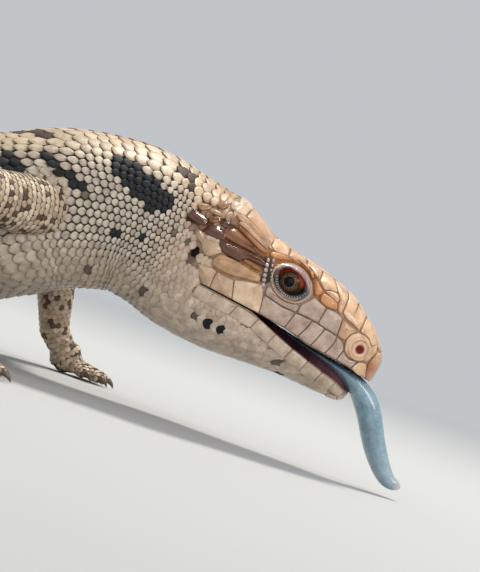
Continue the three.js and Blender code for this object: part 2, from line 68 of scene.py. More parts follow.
bpy.ops.object.camera_add()
camera = bpy.context.object
camera.name = "camera"
camera.data.sensor_fit = "VERTICAL"
camera.data.sensor_height = VIEW["sensor"]
camera.data.lens = VIEW["sensor"] * VIEW["away"] / VIEW["height"]
camera.data.clip_start = 0.01
place = Vector((SNOUT[0] + VIEW["ahead"], SNOUT[1] - VIEW["away"], VIEW["over_floor"])) * MM
roll = math.radians(VIEW["roll"])
right = Vector((math.cos(roll), 0, math.sin(roll)))
upward = Vector((-math.sin(roll), 0, math.cos(roll)))
behind = Vector((0, -1, 0))
turn = Matrix((right, upward, behind)).transposed().to_4x4()
camera.matrix_world = Matrix.Translation(place) @ turn
bpy.context.scene.camera = camera
bpy.context.scene.view_settings.view_transform = "Standard"

# Floor and studio light: a pale matt sweep that fades into the backdrop, a key from
# above and behind, and soft light on the near side.
FLOOR_FADE = (0.3, 1.1)
LAMP_AIM = {"behind": 60, "height": 40}


def link(tree, start, end):
    tree.links.new(start, end)


def between(tree, value, low, high, start=0.0, end=1.0):
    """Stretches a value from one range to another and holds it there."""
    made = tree.nodes.new("ShaderNodeMapRange")
    tree.links.new(value, made.inputs["Value"])
    for key, number in (("From Min", low), ("From Max", high), ("To Min", start), ("To Max", end)):
        made.inputs[key].default_value = number
    return made.outputs["Result"]


def new_material(name, **values):
    """A material with its shader, and plain values for the shader's inputs."""
    material = bpy.data.materials.new(name)
    material.use_nodes = True
    tree = material.node_tree
    shader = tree.nodes["Principled BSDF"]
    for key, value in values.items():
        shader.inputs[key.replace("_", " ")].default_value = value
    return material, tree, shader


bpy.ops.mesh.primitive_plane_add(size=12.0)
floor = bpy.context.object
floor.name = "floor"
floor_paint, tree, shader = new_material(
    "floor_paint", Base_Color=(0.46, 0.47, 0.475, 1), Roughness=0.9, Specular_IOR_Level=0.1)
floor_place = tree.nodes.new("ShaderNodeTexCoord")
floor_far = tree.nodes.new("ShaderNodeVectorMath")
floor_far.operation = "LENGTH"
link(tree, floor_place.outputs["Object"], floor_far.inputs[0])
link(tree, between(tree, floor_far.outputs["Value"], *FLOOR_FADE, 1.0, 0.0), shader.inputs["Alpha"])
floor.data.materials.append(floor_paint)

world = bpy.data.worlds.new("studio")
bpy.context.scene.world = world
world.use_nodes = True
world.node_tree.nodes["Background"].inputs["Color"].default_value = (0.86, 0.90, 0.94, 1)
world.node_tree.nodes["Background"].inputs["Strength"].default_value = 0.62

LAMPS = {
    "key": {"at": (0.25, 0.35, 1.0), "size": 0.22, "power": 11.0, "colour": (1.0, 0.94, 0.85)},
    "near": {"at": (0.25, -1.0, 0.35), "size": 0.8, "power": 3.0, "colour": (1.0, 0.97, 0.93)},
    "front": {"at": (1.0, -0.45, 0.6), "size": 0.4, "power": 4.5, "colour": (1.0, 0.96, 0.9)},
}
for name, lamp in LAMPS.items():
    bpy.ops.object.light_add(type="AREA", location=lamp["at"])
    light = bpy.context.object
    light.name = name + "_light"
    light.data.size = lamp["size"]
    light.data.energy = lamp["power"]
    light.data.color = lamp["colour"]
    aim = Vector((SNOUT[0] - LAMP_AIM["behind"], SNOUT[1], LAMP_AIM["height"])) * MM - Vector(lamp["at"])
    light.rotation_euler = aim.to_track_quat("-Z", "Y").to_euler()

# Skin. One closed hide over head, jaw, body, legs and tail, with the mouth, the
# sockets, the nostrils and the ear cups cut in. The scales stand on it.
COAT_DEPTH = 0.75
PLATE_BED = 0.2
MOUTH_CORNER = 53.5
NECK_START = 58.0
TOTAL_LENGTH = 485.0
FLAT_DEPTH = 0.45
FLOOR_GAP = 0.03
SNOUT_LEVEL = 34
NOSTRIL = {"along": 7.3, "height": 0.4, "side": 10.0, "radius": 1.1}
EAR = {"along": 57.7, "height": 2.4, "side": 24.4}


def full_turn(count):
    """Equal turns once round."""
    return np.arange(count) * 2 * np.pi / count


def rounded(value, power):
    """A power of a value that keeps the value's sign."""
    return np.sign(value) * np.abs(value) ** power


def unit(rows):
    """Rows of vectors, each brought to length one."""
    return rows / np.linalg.norm(rows, axis=1, keepdims=True)


def profile(knots):
    """A smooth curve through a few knots that never overshoots them."""
    at, value = np.array(knots, dtype=float).T
    rise = np.diff(value) / np.diff(at)
    slope = np.zeros(len(at))
    slope[0], slope[-1] = rise[0], rise[-1]
    for i in range(1, len(at) - 1):
        a, b = rise[i - 1], rise[i]
        slope[i] = 0 if a * b <= 0 else 2 * a * b / (a + b)

    def read(x):
        x = np.asarray(x, dtype=float)
        i = np.clip(np.searchsorted(at, x, side="left") - 1, 0, len(at) - 2)
        span = at[i + 1] - at[i]
        t = np.clip((x - at[i]) / span, 0, 1)
        blend = t * t * (3 - 2 * t)
        bend = t * (1 - t) ** 2 * slope[i] - t * t * (1 - t) * slope[i + 1]
        return value[i] + blend * (value[i + 1] - value[i]) + span * bend

    return read


half_width = profile([
    (0, 1), (0.5, 3.2), (1.4, 5), (3, 7), (7, 9.6), (12, 12), (20, 14.9), (28, 17), (36, 19.8), (45, 22.8),
    (54, 23.8), (64, 22.6), (78, 23), (96, 26), (120, 30.5), (150, 34.5), (190, 36.5), (225, 36),
    (250, 31.5), (272, 25.5), (292, 20), (310, 16), (345, 13.4), (385, 11), (425, 8.4), (455, 6),
    (476, 3.6), (485, 1.2),
])
above = profile([
    (0, 0.3), (0.9, 2), (4, 5.4), (10.9, 10), (17.4, 12.8), (26, 14.3), (36, 15.4), (42.5, 16.9), (49, 19.8),
    (56, 21.4), (66, 21.2), (80, 21.6), (100, 22), (140, 22.5), (200, 22), (240, 20.5), (270, 17.5),
    (310, 13.4), (345, 11.4), (385, 9.2), (425, 7), (455, 5), (476, 3), (485, 1),
])
below = profile([
    (0, 5), (1.4, 9), (6, 13), (20, 16.4), (36, 18), (46, 19.3), (58, 19.6), (66, 19.4), (80, 20.2),
    (100, 22), (140, 22.5), (200, 21.5), (240, 20), (270, 17.5), (310, 13.8), (345, 11.8), (385, 9.6),
    (425, 7.4), (455, 5.4), (476, 3.3), (485, 1.3),
])
jaw_half_width = profile([
    (4, 1.4), (4.6, 3.6), (6, 6), (9, 8.6), (14, 11.6), (20, 14), (28, 16.6), (36, 19.3), (45, 22.5),
    (54, 23.6), (58, 23.5),
])
jaw_below = profile([
    (4, 12.4), (4.8, 13.6), (7, 14.5), (12, 15.1), (21, 15.6), (29, 16.7), (38, 18.2), (46, 19.3),
    (54, 19.6), (58, 19.6),
])
upper_lip = profile([(-6, -5.8), (1.2, -5.6), (11, -5.1), (19.5, -5.1), (27, -4.1), (38, -3.9), (54, -4.1)])
lower_lip = profile([
    (-6, -12.6), (4.8, -11.3), (8, -10.5), (15.4, -9.3), (24, -7.7), (34, -5.2), (38, -4.3), (54, -4.4),
])
RESTING = (190, 215, 240, 270, 310, 345, 385, 425, 455, 476, 485)
axis_height = profile([
    (0, SNOUT_LEVEL), (30, SNOUT_LEVEL + 30 * math.sin(HEAD_DROOP)),
    (57, SNOUT_LEVEL + 57 * math.sin(HEAD_DROOP)), (67, 46.1),
    (78, 48.2), (92, 46.6), (110, 39.8), (130, 31.4), (150, 25), (168, 22),
] + [(at, float(below(at)) - FLAT_DEPTH) for at in RESTING])
heading = profile([
    (0, 0), (70, 0), (92, -4), (112, -11), (145, -19), (190, -19), (240, -6), (290, 10), (340, 22),
    (390, 18), (440, -4), (485, -26),
])


def walk_axis():
    """The body's middle line, a point for each millimetre, with its left and up."""
    at = np.arange(0, TOTAL_LENGTH + 1)
    drop = np.diff(axis_height(at))
    run = np.sqrt(1 - drop ** 2)
    way = np.radians(heading(at[1:] - 0.5))
    steps = np.stack([-run * np.cos(way), -run * np.sin(way), drop], axis=1)
    start = [0, 0, SNOUT_LEVEL]
    points = np.vstack([start, start + np.cumsum(steps, axis=0)])
    points += SNOUT - start
    forward = unit(-np.gradient(points, axis=0))
    left = unit(np.cross([0, 0, 1], forward))
    return points, left, np.cross(forward, left)


AXIS, AXIS_LEFT, AXIS_UP = walk_axis()


def on_axis(table, along):
    """Reads the middle line's points or directions at any distance."""
    at = np.arange(len(table))
    return np.stack([np.interp(along, at, table[:, i]) for i in range(3)], axis=-1)


def on_body(along, turn, grow=0.0):
    """A point over the body's outline. A turn of 0 is the left side, 90 degrees the
    back. In front of the corner of the mouth the lower half is the jaw."""
    along, turn, grow = np.broadcast_arrays(along, turn, np.asarray(grow, dtype=float))
    head = np.clip((64 - along) / 8, 0, 1)
    roundness = np.where(np.sin(turn) > 0, 2.2 + 0.3 * head, 2.5 + 0.1 * head)
    side = rounded(np.cos(turn), 2 / roundness)
    height = rounded(np.sin(turn), 2 / roundness)
    width = half_width(along)
    depth = below(along)
    middle = (upper_lip(along) + lower_lip(along)) / 2
    jaw = (along < MOUTH_CORNER) & (height * depth < middle)
    width = np.where(jaw, jaw_half_width(along), width)
    depth = np.where(jaw, jaw_below(along), depth)
    reach = np.where(height > 0, above(along), depth) + grow
    side = side * np.maximum(width + grow, 0.05)
    height = height * np.maximum(reach, 0.05)
    front = (along < 4.0) & jaw
    side = np.where(front, side * 0.5, side)
    height = np.where(front, middle, height)
    point = on_axis(AXIS, along)
    return point + on_axis(AXIS_LEFT, along) * side[..., None] + on_axis(AXIS_UP, along) * height[..., None]


def on_head(along, side, height):
    """A point in the head's own straight frame."""
    along, side, height = np.broadcast_arrays(along, side, height)
    left = np.array([0.0, 1.0, 0.0])
    return (SNOUT - HEAD_FORWARD * np.asarray(along)[..., None] + left * np.asarray(side)[..., None]
            + HEAD_UP * np.asarray(height)[..., None])


def new_piece(name, points, faces):
    """A mesh piece from points in millimetres and faces. It stays above the floor."""
    mesh = bpy.data.meshes.new(name)
    places = np.asarray(points, dtype=float).reshape(-1, 3).copy()
    places[:, 2] = np.maximum(places[:, 2], FLOOR_GAP)
    mesh.from_pydata((places * MM).tolist(), [], faces)
    mesh.update()
    piece = bpy.data.objects.new(name, mesh)
    bpy.context.collection.objects.link(piece)
    return piece


def tube_faces(rings, sides, first=0):
    """Faces of a closed tube of rings, its ends closed by one face each."""
    faces = [list(range(first, first + sides))[::-1]]
    for r in range(rings - 1):
        for k in range(sides):
            a = first + r * sides + k
            b = first + r * sides + (k + 1) % sides
            faces.append([a, b, b + sides, a + sides])
    last = first + (rings - 1) * sides
    faces.append(list(range(last, last + sides)))
    return faces


def turned_out(piece, merge=True):
    """Turns all faces outwards. Points that lie on one another are merged first, or
    all points and their attributes stay as they are."""
    mesh = bmesh.new()
    mesh.from_mesh(piece.data)
    if merge:
        bmesh.ops.remove_doubles(mesh, verts=mesh.verts, dist=1e-7)
    bmesh.ops.recalc_face_normals(mesh, faces=mesh.faces)
    mesh.to_mesh(piece.data)
    mesh.free()
    return piece


def select(*pieces):
    """Selects these pieces alone and makes the first one active."""
    bpy.ops.object.select_all(action="DESELECT")
    for piece in pieces:
        piece.select_set(True)
    bpy.context.view_layer.objects.active = pieces[0]


def apply(piece, kind, **values):
    """Adds a modifier to a piece and applies it."""
    select(piece)
    modifier = piece.modifiers.new(kind.lower(), kind)
    for key, value in values.items():
        setattr(modifier, key, value)
    bpy.ops.object.modifier_apply(modifier=modifier.name)


def combine(piece, operation, other):
    """Cuts another piece away from a piece or unites both. The other one goes."""
    apply(piece, "BOOLEAN", operation=operation, solver="EXACT", object=other)
    bpy.data.objects.remove(other)


def bed(along):
    """How far the hide lies under the outline: less under the head's plates."""
    return -np.interp(along, [NECK_START, NECK_START + 8], [PLATE_BED, COAT_DEPTH])


SKIN_SIDES = 96
skin_stops = np.concatenate([
    [0.1, 0.35, 0.8], np.arange(1.4, 4.0, 0.6), [4.0, 4.1, 4.4, 4.8], np.arange(5.4, 62, 0.75),
    np.arange(62, TOTAL_LENGTH - 3, 2.2), [482.5, 483.6, 484.2],
])
along_grid, turn_grid = np.meshgrid(skin_stops, full_turn(SKIN_SIDES), indexing="ij")
skin_points = on_body(along_grid, turn_grid, bed(along_grid))
skin = turned_out(new_piece("skin", skin_points, tube_faces(len(skin_stops), SKIN_SIDES)))

# Mouth: a gap between both lips. Behind each lip runs a groove, and in the middle the
# palate hangs down and the floor of the mouth rises to the tongue.
LIP_WALL = 1.7
GROOVE = ([3.0, 9.0, 40.0, 52.0], [0.01, 1.5, 1.3, 0.01])
RISE = ([4.8, 6.0, 14.0, 24.0, 30.0, 36.0], [0.15, 0.45, 0.56, 0.66, 0.9, 0.95])
HANG = 0.04
FAR_OUT = 60


def mouth_half_width(along):
    """Half the width of the mouth's inside."""
    upper = half_width(np.maximum(along, 0.6)) * 0.93
    lower = jaw_half_width(np.maximum(along, 4.2)) * 0.86
    return np.maximum(0.6, np.minimum(upper, lower) - LIP_WALL)


gap_stops = np.concatenate([[-6, 1.5], np.linspace(2.5, 50, 46), [52.0, MOUTH_CORNER + 0.2]])
gap_rings = []
for at in gap_stops:
    low, high = float(lower_lip(at)), float(upper_lip(at))
    inner = float(mouth_half_width(at))
    groove = float(np.interp(at, *GROOVE))
    rise = (high - low) * float(np.interp(at, *RISE))
    hang = (high - low) * HANG
    soft = min(1.0, inner * 0.3)
    half = [inner, inner - soft, inner - 2 * soft, inner * 0.35]
    floor_line = [low, low - groove, low - groove, low + rise]
    roof_line = [high, high + groove, high + groove, high - hang]
    sides = [-FAR_OUT, *[-x for x in half], *half[::-1], FAR_OUT]
    sides += sides[::-1]
    heights = [low, *floor_line, *floor_line[::-1], low, high, *roof_line, *roof_line[::-1], high]
    gap_rings.append(on_head(at, np.array(sides, dtype=float), np.array(heights)))
gap = turned_out(new_piece("gap", gap_rings, tube_faces(len(gap_stops), len(sides))))
combine(skin, "DIFFERENCE", gap)

# Legs: rods from root to knee, wrist and palm, with five toes each.
LEGS = {
    "foreleg_right": {
        "side": -1, "radii": (9, 6.6, 4.6), "turn": -8,
        "joints": [(97, 19, 43.5), (115, 46, 41.5), (108, 51, 12.5), (100, 53, 5)],
    },
    "foreleg_left": {
        "side": 1, "radii": (9, 6.6, 4.6), "turn": -14,
        "joints": [(97, 19, 42), (108, 45, 38), (97, 52, 11.5), (89, 54, 5)],
    },
    "hindleg_right": {
        "side": -1, "radii": (11, 7.4, 4.8), "turn": -30,
        "joints": [(270, 14, 16), (256, 43, 17), (279, 51, 8), (272, 60, 4.6)],
    },
    "hindleg_left": {
        "side": 1, "radii": (11, 7.4, 4.8), "turn": -36,
        "joints": [(270, 14, 16), (262, 45, 16.5), (286, 48, 8), (281, 58, 4.6)],
    },
}
FORE_TOES = [(8, 38), (11, 18), (12, 0), (10.5, -20), (8, -42)]
HIND_TOES = [(7.5, 36), (10.5, 20), (13, 4), (14, -12), (9.5, -36)]


def smooth_path(points, count):
    """A Catmull-Rom line through points, cut in equal steps of its own measure."""
    points = np.asarray(points, dtype=float)
    ends = [2 * points[0] - points[1], *points, 2 * points[-1] - points[-2]]
    t = np.linspace(0, len(points) - 1 - 1e-9, count)
    line = []
    for value in t:
        i = int(value)
        f = value - i
        p0, p1, p2, p3 = (np.asarray(ends[i + n]) for n in range(4))
        line.append(0.5 * (2 * p1 + (p2 - p0) * f + (2 * p0 - 5 * p1 + 4 * p2 - p3) * f * f
                           + (3 * p1 - p0 - 3 * p2 + p3) * f ** 3))
    return np.array(line)


def path_frames(line):
    """Left and up of a line, level with the floor where that is possible."""
    forward = unit(np.gradient(line, axis=0))
    left = np.cross([0, 0, 1], forward)
    length = np.linalg.norm(left, axis=1, keepdims=True)
    fallback = np.array([0, 1, 0]) - forward * forward[:, 1:2]
    left = unit(np.where(length < 0.2, fallback, left))
    return left, np.cross(forward, left)


def rod(stops, widths, thicknesses, rings=10, sides=16):
    """Points and faces of a round rod through a few stops."""
    line = smooth_path(stops, rings)
    left, up = path_frames(line)
    t = np.linspace(0, len(stops) - 1, rings)
    wide = profile(list(enumerate(widths)))(t)
    thick = profile(list(enumerate(thicknesses)))(t)
    turn = full_turn(sides)
    points = (line[:, None] + left[:, None] * (np.cos(turn)[None, :, None] * wide[:, None, None])
              + up[:, None] * (np.sin(turn)[None, :, None] * thick[:, None, None]))
    return points.reshape(-1, 3), tube_faces(rings, sides)


def beside(along, side, height):
    """A point beside the body at a height over the floor."""
    point = on_axis(AXIS, along) + on_axis(AXIS_LEFT, along) * side
    return np.array([point[0], point[1], height])


def turned(way, degrees):
    """A level direction turned to the left."""
    c, s = math.cos(math.radians(degrees)), math.sin(math.radians(degrees))
    return np.array([way[0] * c - way[1] * s, way[0] * s + way[1] * c, 0])


leg_plans = {}
for name, leg in LEGS.items():
    side = leg["side"]
    root, knee, wrist, palm = (beside(j[0], side * j[1], j[2]) for j in leg["joints"])
    ahead = palm - wrist
    ahead[2] = 0
    ahead = turned(ahead / np.linalg.norm(ahead), side * leg["turn"])
    toes = [{"way": turned(ahead, -side * spread), "length": length}
            for length, spread in (FORE_TOES if name.startswith("fore") else HIND_TOES)]
    leg_plans[name] = {"joints": (root, knee, wrist, palm), "radii": leg["radii"], "toes": toes}


def join(pieces):
    """Joins pieces into the first one."""
    select(*pieces)
    bpy.ops.object.join()
    return pieces[0]


def along_toe(palm, toe, *stops):
    """Points over a toe, each given by its distance from the palm and its height."""
    spots = [palm + toe["way"] * distance for distance, _ in stops]
    return [np.array([spot[0], spot[1], height]) for spot, (_, height) in zip(spots, stops)]


def toe_stops(palm, toe):
    """The middle line of a toe."""
    return along_toe(palm, toe, (1.5, 3.1), (toe["length"] * 0.6, 3.1), (toe["length"] + 1.6, 1.9))


LEG_BED = 0.55
legs = []
for plan in leg_plans.values():
    root, knee, wrist, palm = plan["joints"]
    a, b, c = (radius - LEG_BED for radius in plan["radii"])
    parts = [
        rod([root, (root * 0.55 + knee * 0.45), knee], (a, (a + b) / 2, b), (a, (a + b) / 2, b)),
        rod([knee, (knee * 0.55 + wrist * 0.45), wrist], (b, (b + c) * 0.55, c), (b, (b + c) * 0.55, c)),
        rod([wrist, wrist * 0.4 + palm * 0.6, palm], (c, c * 1.15, c * 1.15), (c, c * 0.9, c * 0.85),
            rings=6),
    ]
    for toe in plan["toes"]:
        parts.append(rod(toe_stops(palm, toe), (2.1, 1.75, 1.3), (2.1, 1.75, 1.3), rings=8, sides=10))
    pieces = [new_piece("limb", *part) for part in parts]
    for centre, radius in ((knee, b), (wrist, c), (palm, c * 1.15)):
        bpy.ops.mesh.primitive_uv_sphere_add(
            segments=20, ring_count=12, radius=radius * MM, location=centre * MM)
        pieces.append(bpy.context.object)
    limb = join(pieces)
    bpy.ops.object.transform_apply(location=True, rotation=True, scale=True)
    apply(limb, "REMESH", mode="VOXEL", voxel_size=0.0006)
    apply(limb, "SMOOTH", iterations=6, factor=0.5)
    legs.append(limb)
for limb in legs:
    combine(skin, "UNION", limb)

# Hollows in the skin: balls for the sockets, nostrils and ears, and an opening wide
# enough for the lids in front of each socket.
WINDOW = {"ahead": 0.1, "up": 0.2, "long": 5.0, "tall": 3.9, "depths": (14.0, 26.0)}
cutters = []
for side in (-1, 1):
    for along, height, across, radii in (
        (EYE["along"], EYE["height"], EYE["side"], (4.35, 4.35, 4.35)),
        (NOSTRIL["along"], NOSTRIL["height"], NOSTRIL["side"], (1.3, 2.2, 1.3)),
        (EAR["along"], EAR["height"], EAR["side"], (1.3, 3.0, 1.8)),
    ):
        centre = on_head(along, side * across, height) * MM
        bpy.ops.mesh.primitive_uv_sphere_add(segments=24, ring_count=16, radius=MM, location=centre)
        cutter = bpy.context.object
        cutter.scale = radii
        bpy.ops.object.transform_apply(location=True, rotation=True, scale=True)
        cutters.append(cutter)
windows = []
turn = full_turn(32)
across = EYE["along"] - WINDOW["ahead"] - WINDOW["long"] * np.cos(turn)
upright = EYE["height"] + WINDOW["up"] + WINDOW["tall"] * np.sin(turn)
for side in (-1, 1):
    window = [on_head(across, side * depth, upright) for depth in WINDOW["depths"]]
    windows.append(turned_out(new_piece("window", window, tube_faces(2, len(turn)))))
for cutter in (join(cutters), join(windows)):
    combine(skin, "DIFFERENCE", cutter)
for vertex in skin.data.vertices:
    vertex.co.z = max(vertex.co.z, FLOOR_GAP * MM)
select(skin)
bpy.ops.object.shade_smooth_by_angle(angle=math.radians(40))

# Finish of the hide: thin dark skin between the scales, wet and dark inside the
# mouth, reddish in the nostrils. Mottling and grain are groups that others use too.


def new_group(name, scale, *results):
    """An effect with a scale to set. Gives the group, its ends and its place node."""
    group = bpy.data.node_groups.new(name, "ShaderNodeTree")
    item = group.interface.new_socket("Scale", in_out="INPUT", socket_type="NodeSocketFloat")
    item.default_value = scale
    for result in results:
        group.interface.new_socket(result, in_out="OUTPUT", socket_type="NodeSocketFloat")
    return (group, group.nodes.new("NodeGroupInput"), group.nodes.new("NodeGroupOutput"),
            group.nodes.new("ShaderNodeTexCoord"))


def place_texture(group, texture, inputs, place, times):
    """Lays a texture on the object, finer than the group's scale by a factor."""
    link(group, place.outputs["Object"], texture.inputs["Vector"])
    link(group, reckon(group, "MULTIPLY", inputs.outputs["Scale"], times), texture.inputs["Scale"])


def node(tree, kind, **values):
    """A node with its settings and the plain values of its inputs."""
    made = tree.nodes.new(kind)
    for key, value in values.items():
        if hasattr(made, key):
            setattr(made, key, value)
        else:
            made.inputs[key.replace("_", " ")].default_value = value
    return made


def mix(tree, factor, low, high, blend="MIX"):
    """A colour mix. Factor, low and high are sockets or plain values."""
    made = tree.nodes.new("ShaderNodeMix")
    made.data_type = "RGBA"
    made.blend_type = blend
    for place, value in ((0, factor), (6, low), (7, high)):
        if hasattr(value, "is_linked"):
            tree.links.new(value, made.inputs[place])
        elif place == 0:
            made.inputs[0].default_value = value
        else:
            made.inputs[place].default_value = (*value, 1)
    return made.outputs[2]


def reckon(tree, kind, a, b=None):
    """A Math node on two sockets or plain values."""
    made = tree.nodes.new("ShaderNodeMath")
    made.operation = kind
    for place, value in enumerate((a, b)):
        if value is None:
            continue
        if hasattr(value, "is_linked"):
            tree.links.new(value, made.inputs[place])
        else:
            made.inputs[place].default_value = value
    return made.outputs[0]


def make_mottle():
    """Blotches and specks over a surface: a wide mask and a fine one."""
    group, inputs, outputs, place = new_group("mottle", 300.0, "Wide", "Fine")
    for name, times, rough in (("Wide", 1.0, 0.55), ("Fine", 6.0, 0.7)):
        noise = node(group, "ShaderNodeTexNoise", Detail=4.0, Roughness=rough)
        place_texture(group, noise, inputs, place, times)
        link(group, between(group, noise.outputs["Fac"], 0.32, 0.68), outputs.inputs[name])
    return group


def make_grain():
    """The height of fine pores and tiny wrinkles."""
    group, inputs, outputs, place = new_group("grain", 900.0, "Height")
    cells = node(group, "ShaderNodeTexVoronoi", feature="F1")
    noise = node(group, "ShaderNodeTexNoise", Detail=3.0)
    for texture, times in ((cells, 1.0), (noise, 2.5)):
        place_texture(group, texture, inputs, place, times)
    both = reckon(group, "ADD", cells.outputs["Distance"], noise.outputs["Fac"])
    link(group, both, outputs.inputs["Height"])
    return group


MOTTLE = make_mottle()
GRAIN = make_grain()


def use_group(tree, group, scale):
    """The outputs of an effect at a scale."""
    made = tree.nodes.new("ShaderNodeGroup")
    made.node_tree = group
    made.inputs["Scale"].default_value = scale
    return made.outputs


def add_grain(tree, shader, scale, strength, distance):
    """Fine pores on a surface, as bump."""
    made = node(tree, "ShaderNodeBump", Strength=strength, Distance=distance)
    link(tree, use_group(tree, GRAIN, scale)["Height"], made.inputs["Height"])
    link(tree, made.outputs["Normal"], shader.inputs["Normal"])


def read(tree, name, output="Fac"):
    """An attribute of the mesh, as a value or as what the output names."""
    return node(tree, "ShaderNodeAttribute", attribute_name=name).outputs[output]


hide, tree, shader = new_material("hide", Roughness=0.5, Specular_IOR_Level=0.2)
spots = use_group(tree, MOTTLE, 420.0)
under = read(tree, "tint", "Color")
shaded = mix(tree, 1.0, under, (0.42, 0.36, 0.32), "MULTIPLY")
lit = mix(tree, 1.0, under, (0.62, 0.56, 0.52), "MULTIPLY")
link(tree, mix(tree, spots["Wide"], shaded, lit), shader.inputs["Base Color"])
add_grain(tree, shader, 1300.0, 0.35, 0.0002)

mouth_skin, tree, shader = new_material("mouth_skin", Roughness=0.5, Specular_IOR_Level=0.3)
spots = use_group(tree, MOTTLE, 260.0)
link(tree, mix(tree, spots["Wide"], (0.10, 0.032, 0.050), (0.24, 0.10, 0.125)),
     shader.inputs["Base Color"])
add_grain(tree, shader, 700.0, 0.4, 0.0003)

red_skin, tree, shader = new_material("nostril_skin", Roughness=0.3)
spots = use_group(tree, MOTTLE, 500.0)
link(tree, mix(tree, spots["Wide"], (0.30, 0.05, 0.03), (0.55, 0.14, 0.08)),
     shader.inputs["Base Color"])

skin.data.materials.clear()
for material in (hide, mouth_skin, red_skin):
    skin.data.materials.append(material)


def to_head(points):
    """Distance behind the snout, sideways and height of points in millimetres."""
    away = points - SNOUT
    return -away @ HEAD_FORWARD, away[..., 1], away @ HEAD_UP


HOLLOW = 1.6
centres = np.array([face.center for face in skin.data.polygons]) / MM
along, side, height = to_head(centres)
in_mouth = (along < MOUTH_CORNER + 0.3) & (along > 0.2) & (
    (height < upper_lip(along) + 0.02) & (height > lower_lip(along) - 0.02)
    | (height < upper_lip(along) + HOLLOW) & (height > lower_lip(along) - HOLLOW)
    & (np.abs(side) < mouth_half_width(along) + 0.4) & (along > 6.5))
from_nostril = np.hypot(along - NOSTRIL["along"], height - NOSTRIL["height"])
nose = from_nostril < NOSTRIL["radius"] + 0.25
nose &= np.abs(side) < on_body(NOSTRIL["along"], 0.0)[1] - SNOUT[1] + 0.5
for face, mouth, red in zip(skin.data.polygons, in_mouth, nose):
    face.material_index = 1 if mouth else 2 if red else 0

LEG_NODES = [f"{leg}_{part}" for leg in LEGS for part in ("upper", "lower", "foot")]
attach(skin, "root")
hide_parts("head", "lower_jaw", "neck", "torso_front", "torso_middle", "torso_rear", "hips",
            "tail_base", "tail_middle", "tail_end", *LEG_NODES)

# Plates of the head. Each is a thin horny shield with a rounded rim, grown on the
# skin, with dark skin showing in the sutures. Outlines are given on the right side
# by distance behind the snout and height, and on the top by distance and sideways.
TINTS = {
    "mauve": (0.46, 0.36, 0.30), "cream": (0.66, 0.51, 0.37), "sand": (0.54, 0.40, 0.27),
    "ochre": (0.44, 0.21, 0.085), "umber": (0.115, 0.042, 0.018), "orange": (0.56, 0.27, 0.115),
    "peach": (0.66, 0.455, 0.295), "tan": (0.55, 0.36, 0.22), "rust": (0.36, 0.13, 0.045),
    "nape": (0.40, 0.235, 0.13), "jaw": (0.56, 0.47, 0.38), "cheek": (0.52, 0.33, 0.185),
    "bronze": (0.25, 0.105, 0.04),
}


def on_side(along, height):
    """The turn on the head's outline of a height over its axis."""
    reach, roundness = (above(along), 2.5) if height > 0 else (below(along), 2.6)
    return math.copysign(math.asin(min(1.0, abs(height) / float(reach)) ** (roundness / 2)), height)


def on_top(along, side):
    """The turn on the head's outline of a distance sideways from the crest."""
    if side < 0:
        return math.pi - on_top(along, -side)
    return math.acos(min(1.0, side / float(half_width(along))) ** 1.25)


def on_jaw(along, drop):
    """The turn on the jaw's outline of a drop below the edge of the lower lip."""
    down = (drop - float(lower_lip(along))) / float(jaw_below(along))
    return -math.asin(min(0.94, down) ** 1.3)


def on_jaw_turn(along):
    """The turn of the lower lip's edge, for many distances."""
    down = (-0.1 - lower_lip(along)) / jaw_below(along)
    return -np.arcsin(np.clip(down, 0, 0.94) ** 1.3)


def resampled(outline, step):
    """Points at equal steps along a closed outline, its corners slightly cut."""
    outline = np.asarray(outline, dtype=float)
    closed = np.vstack([outline, outline[:1]])
    lengths = np.linalg.norm(np.diff(closed, axis=0), axis=1)
    run = np.concatenate([[0], np.cumsum(lengths)])
    count = max(12, int(round(run[-1] / step)))
    at = np.linspace(0, run[-1], count, endpoint=False)
    points = np.stack([np.interp(at, run, closed[:, i]) for i in range(2)], axis=1)
    return points * 0.5 + (np.roll(points, 1, axis=0) + np.roll(points, -1, axis=0)) * 0.25


def pulled_in(points, inset):
    """The outline moved inwards by a distance."""
    ahead = np.roll(points, -1, axis=0) - np.roll(points, 1, axis=0)
    normal = np.stack([-ahead[:, 1], ahead[:, 0]], axis=1)
    normal /= np.maximum(np.linalg.norm(normal, axis=1, keepdims=True), 1e-9)
    return points + normal * inset


def spine_axes(flat):
    """The long and the cross direction of an outline."""
    _, _, axes = np.linalg.svd(flat - flat.mean(axis=0), full_matrices=False)
    return axes


def spine_of(points):
    """For each rim point, the nearest point of the plate's middle line."""
    centre, axes = points.mean(axis=0), spine_axes(points)
    away = points - centre
    run, across = away @ axes[0], away @ axes[1]
    reach = max(0.0, (np.ptp(run) - np.ptp(across)) / 2 * 0.9)
    return centre + np.clip(run, -reach, reach)[:, None] * axes[0]


RIM = [(0.0, -0.75), (0.0, 0.0), (0.05, 0.5), (0.14, 0.85), (0.32, 1.0)]
DOME = [(0.3, 0.45), (0.62, 0.85), (0.9, 1.0)]
# The collar is peach and the nostril has a red lining. On top of these, the colours hold painted light: a
# painted highlight on the raised rings, painted shade in the dips between them and deeper painted shade down
# into the hole.
# radius as a share of the nostril's, height, colour
NOSTRIL_RINGS = [
    (2.75, 0.5, (0.66, 0.46, 0.30)), (2.45, 0.85, (0.72, 0.52, 0.36)), (2.05, 0.62, (0.50, 0.29, 0.17)),
    (1.65, 0.6, (0.62, 0.46, 0.36)), (1.35, 0.72, (0.72, 0.56, 0.48)), (1.1, 0.45, (0.62, 0.30, 0.21)),
    (0.95, -0.1, (0.50, 0.12, 0.065)), (0.85, -0.8, (0.36, 0.06, 0.035)), (0.5, -1.0, (0.18, 0.025, 0.02)),
]
SMALL_TURN = 0.01


